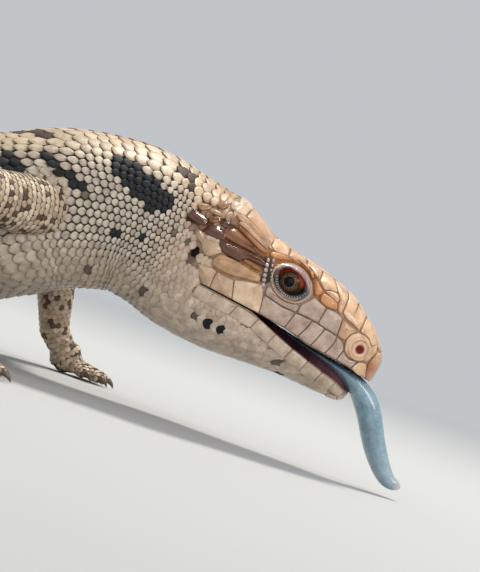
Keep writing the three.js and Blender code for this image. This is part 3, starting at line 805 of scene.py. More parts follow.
def write(piece, name, values, kind="FLOAT"):
    """Writes values for a piece's points into an attribute that its material reads."""
    field = {"FLOAT": "value", "FLOAT_COLOR": "color", "FLOAT_VECTOR": "vector"}[kind]
    piece.data.attributes.new(name, kind, "POINT").data.foreach_set(field, np.ravel(values))


def write_tint(piece, colours):
    """Writes a colour for each point of a piece."""
    write(piece, "tint", np.hstack([colours, np.ones((len(colours), 1))]), "FLOAT_COLOR")


def write_unwrap(piece, unwrap):
    """Lays the map for baking from a place for each point of a piece."""
    mesh = piece.data
    layer = mesh.uv_layers.new(name="OFBake")
    corners = np.empty(len(mesh.loops), dtype=int)
    mesh.loops.foreach_get("vertex_index", corners)
    layer.data.foreach_set("uv", unwrap[corners].ravel())


def finish(piece, material):
    """Gives a piece its material and smooth shading."""
    piece.data.materials.append(material)
    for face in piece.data.polygons:
        face.use_smooth = True


class Plates:
    """Gathers plates into the points, faces and attributes of one piece."""

    def __init__(self):
        self.points, self.faces, self.chart, self.tint = [], [], [], []
        self.rim, self.wet, self.seam = [], [], []
        self.outlines, self.count = [], 0

    def add(self, outline, tint, lift=0.4, dome=0.22, gap=0.06, wet=0.12, step=0.5, round_rim=1.35,
            where=on_body, seam=0.26, hole=None):
        """One plate from its outline of distances and turns."""
        outline = np.asarray(outline, dtype=float)
        self.outlines.append(outline)
        centre = outline.mean(axis=0)
        ends = [where(centre[0], centre[1] + turn, 0) for turn in (SMALL_TURN, -SMALL_TURN)]
        scale = np.array([1.0, np.linalg.norm(ends[0] - ends[1]) / (2 * SMALL_TURN)])
        flat = resampled(outline * scale, step)
        area = np.sum(flat[:, 0] * np.roll(flat[:, 1], -1) - np.roll(flat[:, 0], -1) * flat[:, 1])
        if area < 0:
            flat = flat[::-1]
        flat = pulled_in(flat, gap / 2)
        size = min(np.ptp(flat @ axis) for axis in spine_axes(flat))
        squeeze = min(1.0, size / 2.2)
        rings, heights, rims = [], [], []
        for inset, height in RIM:
            rings.append(pulled_in(flat, inset * squeeze * round_rim))
            heights.append(height * lift if height >= 0 else height)
            rims.append(inset * round_rim)
        rim, middle = rings[-1], spine_of(flat)
        for share, height in DOME:
            rings.append(rim + (middle - rim) * share)
            heights.append(lift + dome * height * squeeze)
            rims.append(0.5 + share)
        sides = len(flat)
        colours = [TINTS[tint]] * len(rings)
        if hole is not None:
            hole_along, hole_height, radius, mirrored = hole
            rim_turn = flat[:, 1] / scale[1]
            rise = rounded(np.sin(rim_turn), 0.8) * above(flat[:, 0])
            angle = np.arctan2(rise - hole_height, flat[:, 0] - hole_along)
            for rows in (rings, heights, rims, colours):
                del rows[len(RIM):]
            # Rings round the nostril. Their colours carry painted highlight and painted shade.
            for size, height, colour in NOSTRIL_RINGS:
                ring_along = hole_along + radius * size * np.cos(angle)
                ring_turn = np.array([on_side(a, hole_height + radius * size * math.sin(b))
                                      for a, b in zip(ring_along, angle)])
                ring_turn = math.pi - ring_turn if mirrored else ring_turn
                rings.append(np.stack([ring_along, ring_turn], axis=1) * scale)
                heights.append(height)
                rims.append(1.0)
                colours.append(colour)
        grid = np.stack(rings) / scale
        placed = where(grid[..., 0], grid[..., 1], np.array(heights)[:, None])
        self.points.append(placed.reshape(-1, 3))
        self.faces += tube_faces(len(rings), sides, self.count)
        self.chart.append(grid.reshape(-1, 2))
        self.tint.append(np.repeat(colours, sides, axis=0))
        self.seam.append(np.full(placed.size // 3, seam))
        self.rim.append(np.repeat(np.clip(rims, 0, 1), sides))
        self.wet.append(np.full(placed.size // 3, wet))
        self.count += placed.size // 3

    def piece(self, name, material):
        """The piece that all plates make together."""
        made = new_piece(name, np.vstack(self.points), self.faces)
        write_tint(made, np.vstack(self.tint))
        for key, values in (("rim", self.rim), ("wet", self.wet), ("seam", self.seam)):
            write(made, key, np.concatenate(values))
        chart = np.vstack(self.chart)
        write_unwrap(made, np.stack([(chart[:, 0] + 2) / 70, (chart[:, 1] / (2 * np.pi)) % 1.0], axis=1))
        turned_out(made, merge=False)
        finish(made, material)
        return made


plate_horn, tree, shader = new_material("plate_horn", Coat_Roughness=0.12, Specular_IOR_Level=0.4)
tint, rim, wet = read(tree, "tint", "Color"), read(tree, "rim"), read(tree, "wet")
spots = use_group(tree, MOTTLE, 330.0)
darker = mix(tree, 1.0, tint, (0.66, 0.56, 0.50), "MULTIPLY")
lighter = mix(tree, 1.0, tint, (1.22, 1.20, 1.18), "MULTIPLY")
base = mix(tree, between(tree, spots["Wide"], 0.0, 1.0, 0.0, 0.75), darker, lighter)
speck = between(tree, spots["Fine"], 0.0, 0.22, 0.55, 0.0)
base = mix(tree, speck, base, (0.16, 0.085, 0.05))
edge = between(tree, rim, 0.0, 0.13, 1.0, 0.0)
edge = reckon(tree, "MULTIPLY", edge, read(tree, "seam"))
base = mix(tree, edge, base, (0.075, 0.04, 0.03))
link(tree, base, shader.inputs["Base Color"])
link(tree, between(tree, wet, 0.0, 1.0, 0.42, 0.2), shader.inputs["Roughness"])
link(tree, between(tree, wet, 0.0, 1.0, 0.1, 0.75), shader.inputs["Coat Weight"])
add_grain(tree, shader, 1500.0, 0.22, 0.00012)

LIP_SHIELD = {"seam": 0.95}


def wet_shield(lift, dome, gap=0.2):
    """The options of a bulging plate with a wet shine."""
    return {"lift": lift, "dome": dome, "gap": gap, "wet": 1.0, "round_rim": 2.2}


# tint, points (distance, height), options
SIDE_PLATES = [
    # upper lip, from the snout to the corner of the mouth
    ("peach", [(1.9, -5.35), (2.9, -3.5), (3.6, -1.8), (6.0, -2.5), (7.0, -4.95)], {"seam": 0.8}),
    ("mauve", [(7.1, -4.95), (6.1, -2.5), (8.4, -3.2), (10.4, -2.4), (11.1, -1.8), (11.6, -4.85)],
     LIP_SHIELD),
    ("mauve", [(11.6, -4.85), (11.1, -1.8), (11.8, -0.2), (14.4, 0.5), (14.2, -1.2), (15.2, -4.85)],
     LIP_SHIELD),
    ("mauve", [(15.2, -4.85), (14.2, -1.2), (14.4, 0.55), (18.2, 0.9), (19.6, -4.85)], LIP_SHIELD),
    ("mauve", [(19.6, -4.85), (18.2, 0.9), (22.1, 1.15), (23.7, -4.3)], LIP_SHIELD),
    ("mauve", [(23.7, -4.3), (22.1, 1.15), (27.2, 0.8), (27.9, -3.9)], LIP_SHIELD),
    ("mauve", [(27.9, -3.9), (27.2, 0.8), (31.1, 0.5), (34, 0.8), (36.9, 1.1), (36.1, -1.4), (35.7, -3.7)],
     LIP_SHIELD),
    ("cream", [(35.7, -3.7), (36.1, -1.4), (37.1, 1.2), (38.4, 3.1), (41.2, 2.4), (43.3, 1.8),
         (45.4, 0.9), (44.2, -1.9), (43.6, -3.75)], {"lift": 0.6, "dome": 0.4}),
    ("sand", [(43.6, -3.75), (44.2, -1.9), (45.4, 0.8), (48.2, 0.7), (50.4, 0.8), (50.1, -3.8)],
     {"dome": 0.4}),
    ("sand", [(50.1, -3.8), (50.4, 0.8), (52.4, 1.0), (54.0, 0.5), (55.8, 0.1), (54.9, -1.2),
         (53.6, -2.6), (52.4, -3.8)], {"dome": 0.4}),
    # side of the snout, from the nostril to the eye
    ("peach", [(3.2, 3.4), (4.9, 2.5), (6.3, 3.9), (8.0, 4.4), (9.7, 4.2), (11.3, 2.8), (11.9, 0.6),
         (10.7, -2.0), (8.4, -3.0), (5.9, -2.2), (3.6, -1.4), (2.8, 1.2)],
     {"lift": 0.4, "seam": 0.35, "nostril": 1}),
    ("tan", [(12.0, 0.6), (11.4, 2.8), (9.9, 4.2), (12.1, 4.6), (15.2, 5.3), (14.5, 0.75)], {}),
    ("mauve", [(14.6, 0.8), (15.3, 5.3), (17.3, 6.1), (20.4, 5.9), (20.6, 1.2), (18.2, 1.0)], {}),
    ("mauve", [(20.6, 1.3), (20.5, 5.9), (22.8, 6.3), (24.6, 6.9), (25.5, 5.2), (26.9, 3.4), (26.8, 1.0),
         (24.6, 1.3)], {}),
    ("mauve", [(27.0, 1.0), (27.1, 3.1), (29.9, 2.2), (32.7, 2.2), (35.1, 3.1), (36.6, 4.0), (37.0, 2.6),
         (36.6, 1.3), (34.0, 1.0), (31.1, 0.7)], {"step": 0.6}),
    ("orange", [(23.4, 7.8), (22.9, 8.9), (20.4, 8.8), (18.3, 8.1), (17.6, 6.5), (20.4, 6.0), (22.8, 6.5)],
     {"lift": 0.6}),
    ("orange", [(29.0, 12.3), (27.0, 11.1), (24.6, 9.8), (23.1, 9.0), (23.6, 7.8), (24.6, 7.2),
         (25.6, 8.5), (26.9, 10.3)], {"lift": 0.7}),
    ("orange", [(29.1, 12.4), (27.1, 10.5), (28.5, 11.9), (30.8, 12.6), (33.6, 12.5), (34.9, 12.6),
         (32.1, 13.3), (29.8, 13.2)], {"lift": 0.7}),
    ("orange", [(35.0, 12.6), (33.8, 12.4), (36.3, 11.6), (38.6, 10.7), (40.3, 10.9), (40.2, 11.9),
         (38.2, 12.4)], {"lift": 0.7}),
    ("peach", [(23.0, 9.4), (21.4, 10.4), (19.5, 10.5), (18.2, 9.4), (18.4, 8.3), (20.5, 8.95)], {}),
    # behind the eye
    ("cheek", [(51.1, 5.4), (47.6, 5.7), (44.1, 5.4), (40.5, 5.3), (39.2, 4.5), (39.3, 3.3), (41.4, 2.7),
         (45.6, 1.6), (48.6, 1.1), (50.7, 1.1), (52.6, 1.5), (53.2, 2.2), (52.8, 3.9), (51.9, 5.1)],
     {"lift": 0.7, "dome": 0.7, "gap": 0.3, "wet": 0.5, "round_rim": 2.0}),
    ("umber", [(52.7, 8.8), (49.5, 9.0), (47.2, 9.1), (44.9, 9.1), (42.5, 9.0), (40.8, 8.2), (41.4, 7.6),
         (45.3, 7.3), (46.4, 6.4), (46.2, 6.0), (47.8, 6.0), (50.2, 6.0), (51.9, 6.6), (52.8, 7.9)],
     wet_shield(0.6, 0.75)),
    ("ochre", [(45.8, 7.2), (44.2, 7.4), (42.1, 7.2), (40.3, 6.9), (40.1, 5.9), (41.9, 5.8), (44.4, 6.0),
         (46.0, 6.3)], wet_shield(0.6, 0.6, gap=0.4)),
    ("bronze", [(53.5, 11.2), (52.4, 12.3), (50.4, 12.5), (47.5, 11.6), (45.0, 10.8), (43.6, 10.0),
         (44.6, 9.6), (46.4, 9.6), (48.5, 9.5), (50.8, 9.5), (52.9, 9.8)], wet_shield(0.6, 0.8)),
    ("umber", [(58.7, 8.9), (57.7, 10.6), (55.8, 10.9), (53.9, 10.7), (53.0, 9.6), (53.1, 8.6),
         (54.7, 8.2), (56.7, 8.0), (58.3, 8.0)], wet_shield(0.6, 0.7)),
    ("umber", [(56.2, 12.4), (54.3, 13.3), (52.4, 13.4), (51.6, 12.9), (53.5, 11.8), (55.1, 11.5)],
     wet_shield(0.5, 0.6)),
    ("bronze", [(60.1, 12.5), (58.2, 13.5), (56.6, 13.2), (56.5, 12.2), (57.9, 11.4), (59.7, 11.4)],
     wet_shield(0.5, 0.6)),
    ("ochre", [(51.6, 13.5), (50.3, 13.8), (47.3, 13.1), (44.4, 12.3), (41.7, 11.7), (40.6, 11.0),
         (41.8, 10.7), (44.7, 11.1), (47.9, 12.2), (50.7, 12.9)],
     {"lift": 0.6, "dome": 0.5, "gap": 0.3, "wet": 0.9}),
    ("peach", [(51.7, 15.0), (49.5, 15.2), (46.6, 14.2), (43.6, 13.3), (40.9, 12.2), (41.6, 11.9),
         (44.9, 12.7), (47.9, 13.5), (50.7, 14.1), (51.8, 14.2)],
     {"lift": 0.6, "dome": 0.5, "gap": 0.25, "wet": 0.6}),
    ("tan", [(53.6, 16.0), (51.9, 16.9), (48.3, 16.2), (45.7, 15.2), (43.5, 14.5), (41.2, 13.3),
         (39.8, 12.5), (40.8, 12.3), (44.0, 13.6), (48.0, 14.7), (51.7, 15.2)],
     {"lift": 0.55, "dome": 0.4, "wet": 0.5}),
    ("sand", [(61.6, 8.0), (60.2, 8.4), (58.4, 7.6), (57.4, 6.9), (54.2, 7.5), (52.5, 6.7), (51.4, 5.5),
         (52.6, 4.4), (53.6, 3.0), (55.3, 2.6), (56.7, 3.6), (57.9, 5.2), (59.6, 5.6), (60.8, 6.6)],
     {"lift": 0.6, "dome": 0.5, "gap": 0.3}),
    ("nape", [(60.9, 17.4), (58.3, 18.4), (56.4, 17.2), (57.9, 15.6), (60.4, 15.7)],
     {"wet": 0.7, "dome": 0.4}),
    ("cream", [(56.8, 18.8), (55.0, 19.3), (52.5, 18.8), (53.9, 16.9), (56.0, 16.9)],
     {"wet": 0.6, "dome": 0.4}),
    ("nape", [(65.0, 13.6), (63.7, 14.8), (61.5, 15.1), (61.7, 13.8), (63.5, 12.7)],
     {"wet": 0.5, "dome": 0.5}),
    ("cream", [(61.8, 13.7), (60.1, 14.9), (57.6, 14.6), (57.0, 13.8), (59.3, 13.6)],
     {"wet": 0.6, "dome": 0.4}),
    ("umber", [(64.6, 12.1), (62.0, 11.8), (60.3, 11.3), (60.2, 9.9), (61.8, 9.6), (64.8, 9.9)],
     {"wet": 0.4, "dome": 0.6}),
]
# across the middle: tint, points (distance, sideways) of the right half, options
MIDDLE_PLATES = [
    ("peach", [(9.8, 0), (9.7, 5.0), (9.8, 10.2), (12.0, 11.0), (14.2, 11.9), (16.0, 12.2), (16.2, 8.0),
               (17.4, 4.0), (17.2, 0)], {"wet": 0.35}),
    ("tan", [(20.4, 0), (22.2, 4.6), (25.0, 5.0), (30.0, 4.3), (33.2, 2.6), (34.0, 0)], {"wet": 0.3}),
    ("tan", [(39.3, 0), (40.0, 3.0), (45.0, 3.5), (48.2, 2.2), (48.6, 0)], {"wet": 0.4}),
]
# tint, points on the side (distance, height), points on the top (distance, sideways), options
TOP_PLATES = [
    ("peach", [(2.5, 2.5), (3.1, 3.3), (4.9, 2.65), (6.3, 4.1), (8.2, 4.5), (9.5, 4.3)],
     [(9.4, 4.5), (9.6, 0.12), (1.6, 0.12)], {"wet": 0.3}),
    ("peach", [(16.2, 6.2), (17.4, 6.4), (18.2, 8.3), (18.1, 9.5), (19.4, 10.7)],
     [(20.6, 8.4), (21.9, 4.9), (20.3, 0.15), (17.4, 0.15), (17.6, 4.1), (16.4, 8.2)], {"wet": 0.3}),
    ("peach", [(19.6, 10.8), (21.5, 10.6), (23.2, 9.7), (25.4, 11.2)],
     [(25.6, 5.3), (22.1, 5.0)], {"wet": 0.2}),
    ("tan", [(25.6, 11.4), (26.9, 11.9), (29.2, 13.1), (30.4, 13.4)],
     [(30.6, 4.6), (25.8, 5.3)], {"wet": 0.2}),
    ("tan", [(30.6, 13.5), (32.1, 13.5), (34.8, 12.9), (35.6, 12.8)],
     [(35.9, 4.9), (33.5, 3.0), (30.9, 4.5)], {"wet": 0.2}),
    ("peach", [(35.9, 12.9), (38.2, 12.6), (39.6, 12.5), (40.9, 13.3)],
     [(41.0, 9.0), (40.2, 6.2), (36.2, 5.2)], {"wet": 0.3}),
    ("tan", [],
     [(34.3, 0.15), (33.6, 2.7), (36.2, 4.9), (40.0, 5.9), (39.8, 3.1), (39.0, 0.15)], {"wet": 0.3}),
    ("tan", [(41.2, 13.5), (43.5, 14.7), (45.7, 15.4), (48.3, 16.4), (50.6, 16.9)],
     [(50.4, 9.0), (49.4, 3.0), (48.9, 0.2), (48.5, 2.5), (45.2, 3.8), (40.3, 3.3), (40.4, 6.0)],
     {"wet": 0.5, "dome": 0.5}),
    ("cream", [(51.0, 17.0), (52.4, 17.0), (54.4, 16.6)],
     [(55.0, 6.0), (54.6, 0.15), (49.2, 0.2), (50.0, 3.6)], {"wet": 0.4}),
]
head_plates = Plates()


def outline_of(side_points, top_points):
    """Distances and turns of an outline that is given on the side and the top."""
    outline = [(along, on_side(along, height)) for along, height in side_points]
    return outline + [(along, on_top(along, side)) for along, side in top_points]


def over(outline):
    """The outline on the other side of the crest."""
    return [(along, math.pi - turn) for along, turn in outline]


PAIRED = [(tint_name, points, [], options) for tint_name, points, options in SIDE_PLATES] + TOP_PLATES
SWOLLEN, SWELL = ("umber", "bronze"), 1.2
for tint_name, side_points, top_points, options in PAIRED:
    outline = outline_of(side_points, top_points)
    for mirrored in (False, True):
        extra = dict(options)
        swell = SWELL if tint_name in SWOLLEN else 1.0
        if extra.pop("nostril", 0):
            extra["hole"] = (NOSTRIL["along"], NOSTRIL["height"], NOSTRIL["radius"], mirrored)
        middle = np.mean(outline, axis=0)
        shape = [tuple(middle + (np.array(spot) - middle) * swell) for spot in outline]
        head_plates.add(over(shape) if mirrored else shape, tint_name, **extra)
for tint_name, top_points, options in MIDDLE_PLATES:
    half = outline_of([], top_points)
    head_plates.add(half + over(half[::-1]), tint_name, **options)
plates = head_plates.piece("head_plates", plate_horn)
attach(plates, "root")

# Plates of the lower lip and chin, smooth shields on the jaw's own outline.
jaw_plates = Plates()
CHIN_CUTS = [5.0, 8.6, 13.2, 18.0, 23.2, 29.0, 35.0, 41.5, 48.5, 53.0]
LIP_EDGE, LIP_ROW = 0.12, 3.6
CHIN_EDGE = [(4.1, 0.1), (4.9, 0.12), (5.8, 2.7), (6.8, 3.0), (8.2, 3.8), (9.0, 5.2)]
SMOOTH_SHIELD = {"lift": 0.3, "dome": 0.12, "gap": 0.05, "seam": 0.4}


def on_jaw_side(outline):
    """Distances and turns of an outline given by drops below the lower lip."""
    return [(along, on_jaw(along, drop)) for along, drop in outline]


def under_jaw(outline):
    """The outline on the other side of the jaw's middle line."""
    return [(along, -math.pi - turn) for along, turn in outline]


for front, back in zip(CHIN_CUTS[:-1], CHIN_CUTS[1:]):
    slant = 0.9 if back < 50 else 0.3
    row = float(np.interp(front, [5, 9], [2.6, LIP_ROW]))
    outline = on_jaw_side([(front, LIP_EDGE), (back, LIP_EDGE), (back + slant, row), (front + slant, row)])
    for shape in (outline, under_jaw(outline)):
        jaw_plates.add(shape, "jaw", **SMOOTH_SHIELD)
chin = on_jaw_side(CHIN_EDGE)
jaw_plates.add(chin + under_jaw(chin[::-1]), "jaw", **SMOOTH_SHIELD)
jaw = jaw_plates.piece("jaw_plates", plate_horn)
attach(jaw, "root")

# Rostral: the rounded horny cap over the tip of the snout, down to the upper lip. It
# follows the snout's own outline, a little proud of it, and closes in a blunt dome.
CAP_EDGE = [(-5.7, 1.8), (-3.6, 2.8), (-1.6, 3.4), (1.5, 2.5), (2.6, 1.5)]
CAP_RINGS = [(0.0, -0.7), (0.0, 0.05), (0.03, 0.32), (0.09, 0.46), (0.25, 0.54), (0.45, 0.56), (0.65, 0.54),
             (0.8, 0.48), (0.9, 0.4), (0.97, 0.25), (1.0, 0.0)]
CAP_SIDES, CAP_FRONT, CAP_LOW = 72, -0.12, -5.75
turn = full_turn(CAP_SIDES)
lean = rounded(np.sin(turn), 0.8)
edge_height = np.where(lean > 0, lean * above(2.0), lean * below(2.0))
edge_along = np.interp(edge_height, *np.array(CAP_EDGE).T)
cap_rings = [on_body(np.maximum(0.03, edge_along * (1 - share)), turn, grow) for share, grow in CAP_RINGS]
along, side, height = to_head(np.stack(cap_rings))
along[-1] = CAP_FRONT
along[-2] = CAP_FRONT + 0.06
cap = on_head(along, side, np.maximum(height, CAP_LOW))
rostral = new_piece("rostral", cap, tube_faces(len(CAP_RINGS), CAP_SIDES))
upper_share = np.clip((height.ravel() + 2.2) / 4.0, 0, 1)[:, None]
shades = np.array(TINTS["rust"]) * (1 - upper_share) + np.array(TINTS["peach"]) * upper_share
low_share = np.clip((-3.4 - height.ravel()) / 1.6, 0, 1)[:, None] * 0.3
shades = shades * (1 - low_share) + np.array(TINTS["tan"]) * low_share
write_tint(rostral, shades)
write(rostral, "rim", np.repeat([min(1.0, share * 4) for share, _ in CAP_RINGS], CAP_SIDES))
for key in ("wet", "seam"):
    write(rostral, key, np.full(len(shades), 0.5))
turned_out(rostral)
finish(rostral, plate_horn)
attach(rostral, "root")

# Eyes: wet balls with a round pupil and a flecked brown iris under a clear cornea.
# They sit as deep as the photograph shows and look out to the sides.
eyeball, tree, shader = new_material(
    "eyeball", Roughness=0.5, Specular_IOR_Level=0.03, Coat_Weight=0.5, Coat_Roughness=0.02, Coat_IOR=1.27)
look = read(tree, "look", "Vector")
apart = tree.nodes.new("ShaderNodeSeparateXYZ")
link(tree, look, apart.inputs["Vector"])
out = node(tree, "ShaderNodeVectorMath", operation="LENGTH")
flat = tree.nodes.new("ShaderNodeCombineXYZ")
link(tree, apart.outputs["X"], flat.inputs["X"])
link(tree, apart.outputs["Z"], flat.inputs["Y"])
link(tree, flat.outputs["Vector"], out.inputs[0])
radius = out.outputs["Value"]
flecks = node(tree, "ShaderNodeTexNoise", Scale=2.6, Detail=5.0, Roughness=0.7)
link(tree, look, flecks.inputs["Vector"])
flecked = between(tree, flecks.outputs["Fac"], 0.42, 0.6)
iris = mix(tree, flecked, (0.020, 0.011, 0.007), (0.17, 0.085, 0.035))
ring = between(tree, radius, 1.5, 1.75, 1.0, 0.0)
iris = mix(tree, reckon(tree, "MULTIPLY", ring, 0.6), iris, (0.24, 0.14, 0.06))
colour = mix(tree, between(tree, radius, 1.42, 1.52), (0.001, 0.003, 0.005), iris)
colour = mix(tree, between(tree, radius, 2.25, 2.6), colour, (0.020, 0.011, 0.008))
upper = between(tree, apart.outputs["Z"], -0.2, 1.0)
red = reckon(tree, "MULTIPLY", between(tree, radius, 2.75, 3.1), upper)
colour = mix(tree, red, colour, (0.26, 0.045, 0.018))
link(tree, colour, shader.inputs["Base Color"])

EYE_TURN = {"forward": -0.13, "up": 0.02}
for name, side in (("eye_right", -1), ("eye_left", 1)):
    centre = on_head(EYE["along"], side * EYE["side"], EYE["height"])
    outward = np.array([0.0, float(side), 0.0])
    outward += HEAD_FORWARD * EYE_TURN["forward"] + HEAD_UP * EYE_TURN["up"]
    outward /= np.linalg.norm(outward)
    across = HEAD_FORWARD - outward * (HEAD_FORWARD @ outward)
    across /= np.linalg.norm(across)
    up = np.cross(across, outward)
    up *= np.sign(up @ HEAD_UP)
    bpy.ops.mesh.primitive_uv_sphere_add(segments=64, ring_count=48, radius=EYE["radius"] - 0.05)
    ball = bpy.context.object
    ball.name = name.replace("eye", "eyeball")
    local = np.array([vertex.co for vertex in ball.data.vertices])
    local[:, 2] += np.clip((local[:, 2] - 3.3) / 0.75, 0, 1) ** 1.5 * 0.1
    world_points = centre + local[:, :1] * across + local[:, 1:2] * up + local[:, 2:3] * outward
    ball.data.vertices.foreach_set("co", (world_points * MM).ravel())
    write(ball, "look", local[:, [0, 2, 1]], "FLOAT_VECTOR")
    turned_out(ball, merge=False)
    finish(ball, eyeball)
    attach(ball, "root")
    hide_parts(name)

# Lids: two soft folds round each eye. The upper one is thick, wet and mauve with a
# red inner edge, the lower one dark with a row of small pale bars along its rim.
OPENING = [(35.1, 6.6), (35.8, 8.5), (34.8, 9.9), (32.4, 10.3), (30.1, 9.8), (28.5, 8.5), (27.8, 7.0),
           (28.9, 5.3), (30.7, 4.4), (32.9, 4.7), (34.4, 5.5)]
LID_EDGE = [(37.2, 6.3), (37.6, 8.2), (36.9, 10.0), (35.3, 11.3), (32.8, 12.0), (30.4, 11.9), (28.3, 10.9),
            (26.7, 9.4), (25.8, 7.6), (26.2, 5.6), (27.5, 3.7), (29.9, 2.7), (32.7, 2.7), (35.1, 3.7),
            (36.5, 5.0)]
LID_MIDDLE = (31.9, 7.4)
LID_SIDES = 80


def round_reach(outline):
    """Distance of an outline from the lids' middle for any turn about it."""
    away = np.array(outline) - LID_MIDDLE
    turn = np.arctan2(away[:, 1], -away[:, 0])
    order = np.argsort(turn)
    turn, reach = turn[order], np.linalg.norm(away, axis=1)[order]
    fine = np.linspace(-np.pi, np.pi, 145)
    smooth = np.interp(fine, turn, reach, period=2 * np.pi)[:-1]
    kernel = np.array([1, 3, 6, 9, 10, 9, 6, 3, 1]) / 48
    smooth = sum(k * np.roll(smooth, i - 4) for i, k in enumerate(kernel))
    return lambda turn: np.interp(turn, fine[:-1], smooth, period=2 * np.pi)


opening, lid_edge = round_reach(OPENING), round_reach(LID_EDGE)


def side_at(along, height):
    """How far the outline stands out sideways at a distance and height."""
    share = np.clip(np.abs(height) / np.where(height > 0, above(along), below(along)), 0, 0.999)
    return half_width(along) * (1 - share ** 2.5) ** 0.4


def on_lid(side, turn, share, grow):
    """A point of the lids: a share of 0 is the opening, 1 the outer edge."""
    turn, share, grow = np.broadcast_arrays(turn, share, np.asarray(grow, dtype=float))
    reach = opening(turn) + (lid_edge(turn) - opening(turn)) * share
    along = LID_MIDDLE[0] - reach * np.cos(turn)
    height = LID_MIDDLE[1] + reach * np.sin(turn)
    inside = np.minimum(EYE["radius"] - 0.3, np.hypot(along - EYE["along"], height - EYE["height"]))
    ball = EYE["side"] + np.sqrt(EYE["radius"] ** 2 - inside ** 2) + 0.02
    skin_side = side_at(along, height)
    blend = np.clip(share, 0, 1) ** 0.8
    upper = np.clip(np.sin(turn) * 1.4 + 0.2, 0, 1)
    swell = 0.55 + 0.75 * upper
    round_fold = np.sin(np.pi * np.clip(share, 0, 1) ** 0.75)
    depth = ball * (1 - blend) + (skin_side + 0.1) * blend + swell * round_fold + grow
    depth = np.where(share > 1, skin_side + grow - 0.35 * (share - 1) / 0.12, depth)
    depth = np.where(share < 0, ball + grow + share * 7, depth)
    return on_head(along, side * depth, height)


lid_skin, tree, shader = new_material("lid_skin", Roughness=0.32, Coat_Weight=0.5, Coat_Roughness=0.15)
shade, raised = read(tree, "lid"), read(tree, "upper")
spots = use_group(tree, MOTTLE, 700.0)
upper_colour = mix(tree, spots["Wide"], (0.17, 0.095, 0.10), (0.36, 0.245, 0.26))
lower_colour = mix(tree, spots["Wide"], (0.016, 0.018, 0.023), (0.075, 0.077, 0.085))
colour = mix(tree, between(tree, raised, -0.15, 0.35), lower_colour, upper_colour)
outer = between(tree, shade, 0.72, 0.95)
colour = mix(tree, reckon(tree, "MULTIPLY", outer, 0.9), colour, (0.50, 0.33, 0.21))
inner = between(tree, shade, 0.12, 0.34, 1.0, 0.0)
inner = reckon(tree, "MULTIPLY", inner, between(tree, raised, -0.1, 0.3))
colour = mix(tree, inner, colour, (0.27, 0.055, 0.025))
link(tree, colour, shader.inputs["Base Color"])
add_grain(tree, shader, 1700.0, 0.35, 0.00015)

LID_SHARES = [-0.2, -0.08, 0.0, 0.05, 0.12, 0.2, 0.3, 0.4, 0.5, 0.6, 0.7, 0.8, 0.88, 0.95, 1.0, 1.06, 1.12]
for side in (-1, 1):
    turn = full_turn(LID_SIDES)
    rings = [on_lid(side, turn, share, 0.0) for share in LID_SHARES]
    back = [on_lid(side, turn, 1.12, -2.2), on_lid(side, turn, -0.1, -2.2)]
    loops = np.stack(rings + back)
    count = len(loops)
    faces = []
    for r in range(count):
        for k in range(LID_SIDES):
            a, b = r * LID_SIDES + k, r * LID_SIDES + (k + 1) % LID_SIDES
            far = ((r + 1) % count) * LID_SIDES
            faces.append([a, b, far + (k + 1) % LID_SIDES, far + k])
    lid = new_piece("lids_right" if side < 0 else "lids_left", loops, faces)
    write(lid, "lid", np.repeat([*LID_SHARES, 1.0, 0.0], LID_SIDES))
    write(lid, "upper", np.tile(np.sin(turn), count))
    turned_out(lid, merge=False)
    finish(lid, lid_skin)
    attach(lid, "root")

# Granules: a ring of small round scales outside the lids, pale bars on the lower rim,
# and a column of white beads in the dark crease behind the eye.
granules = Plates()
TINTS |= {"pale bar": (0.36, 0.37, 0.38), "ring": (0.50, 0.34, 0.22), "white": (0.50, 0.44, 0.40)}
LOWER_BARS = {"first": 186, "step": 9.6, "count": 18, "share": 0.3, "size": (0.42, 0.10), "tint": "pale bar",
              "look": {"lift": 0.08, "dome": 0.1, "step": 0.1}}
LID_RING = {"first": 100, "step": 9.4, "count": 34, "share": 1.12, "size": (0.30, 0.13), "tint": "ring",
            "look": {"lift": 0.28, "dome": 0.2, "step": 0.22}}


def small_round(width, length, count=8):
    """The outline of a small round scale about its own middle."""
    turn = full_turn(count)
    return np.stack([length / 2 * np.cos(turn), width / 2 * np.sin(turn)], axis=1)


for side in (-1, 1):
    lid_place = (lambda turn, share, grow, side=side: on_lid(side, turn, share, grow))
    for row in (LOWER_BARS, LID_RING):
        for k in range(row["count"]):
            turn = math.radians(row["first"] + k * row["step"])
            outline = [(turn + a, row["share"] + b) for a, b in small_round(*row["size"])]
            granules.add(outline, row["tint"], gap=0.0, where=lid_place, **row["look"])
BEAD_REACH = 18.5
BEADS = [(39.9, 9.6, 1.35), (39.6, 8.3, 1.5), (39.3, 7.0, 1.5), (38.9, 5.7, 1.45), (38.5, 4.5, 1.4),
         (38.1, 3.3, 1.3), (38.7, 10.2, 1.0), (38.3, 8.8, 0.9), (38.1, 7.6, 0.8), (40.8, 8.4, 0.9)]
for along, height, size in BEADS:
    turn = on_side(along, height)
    outline = [(along + a, turn + b) for a, b in small_round(size / BEAD_REACH, size * 0.9)]
    for shape in (outline, over(outline)):
        granules.add(shape, "white", lift=0.5, dome=0.3, gap=0.0, step=0.3, wet=0.7, seam=0.05)
around_eye = granules.piece("eye_granules", plate_horn)
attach(around_eye, "root")

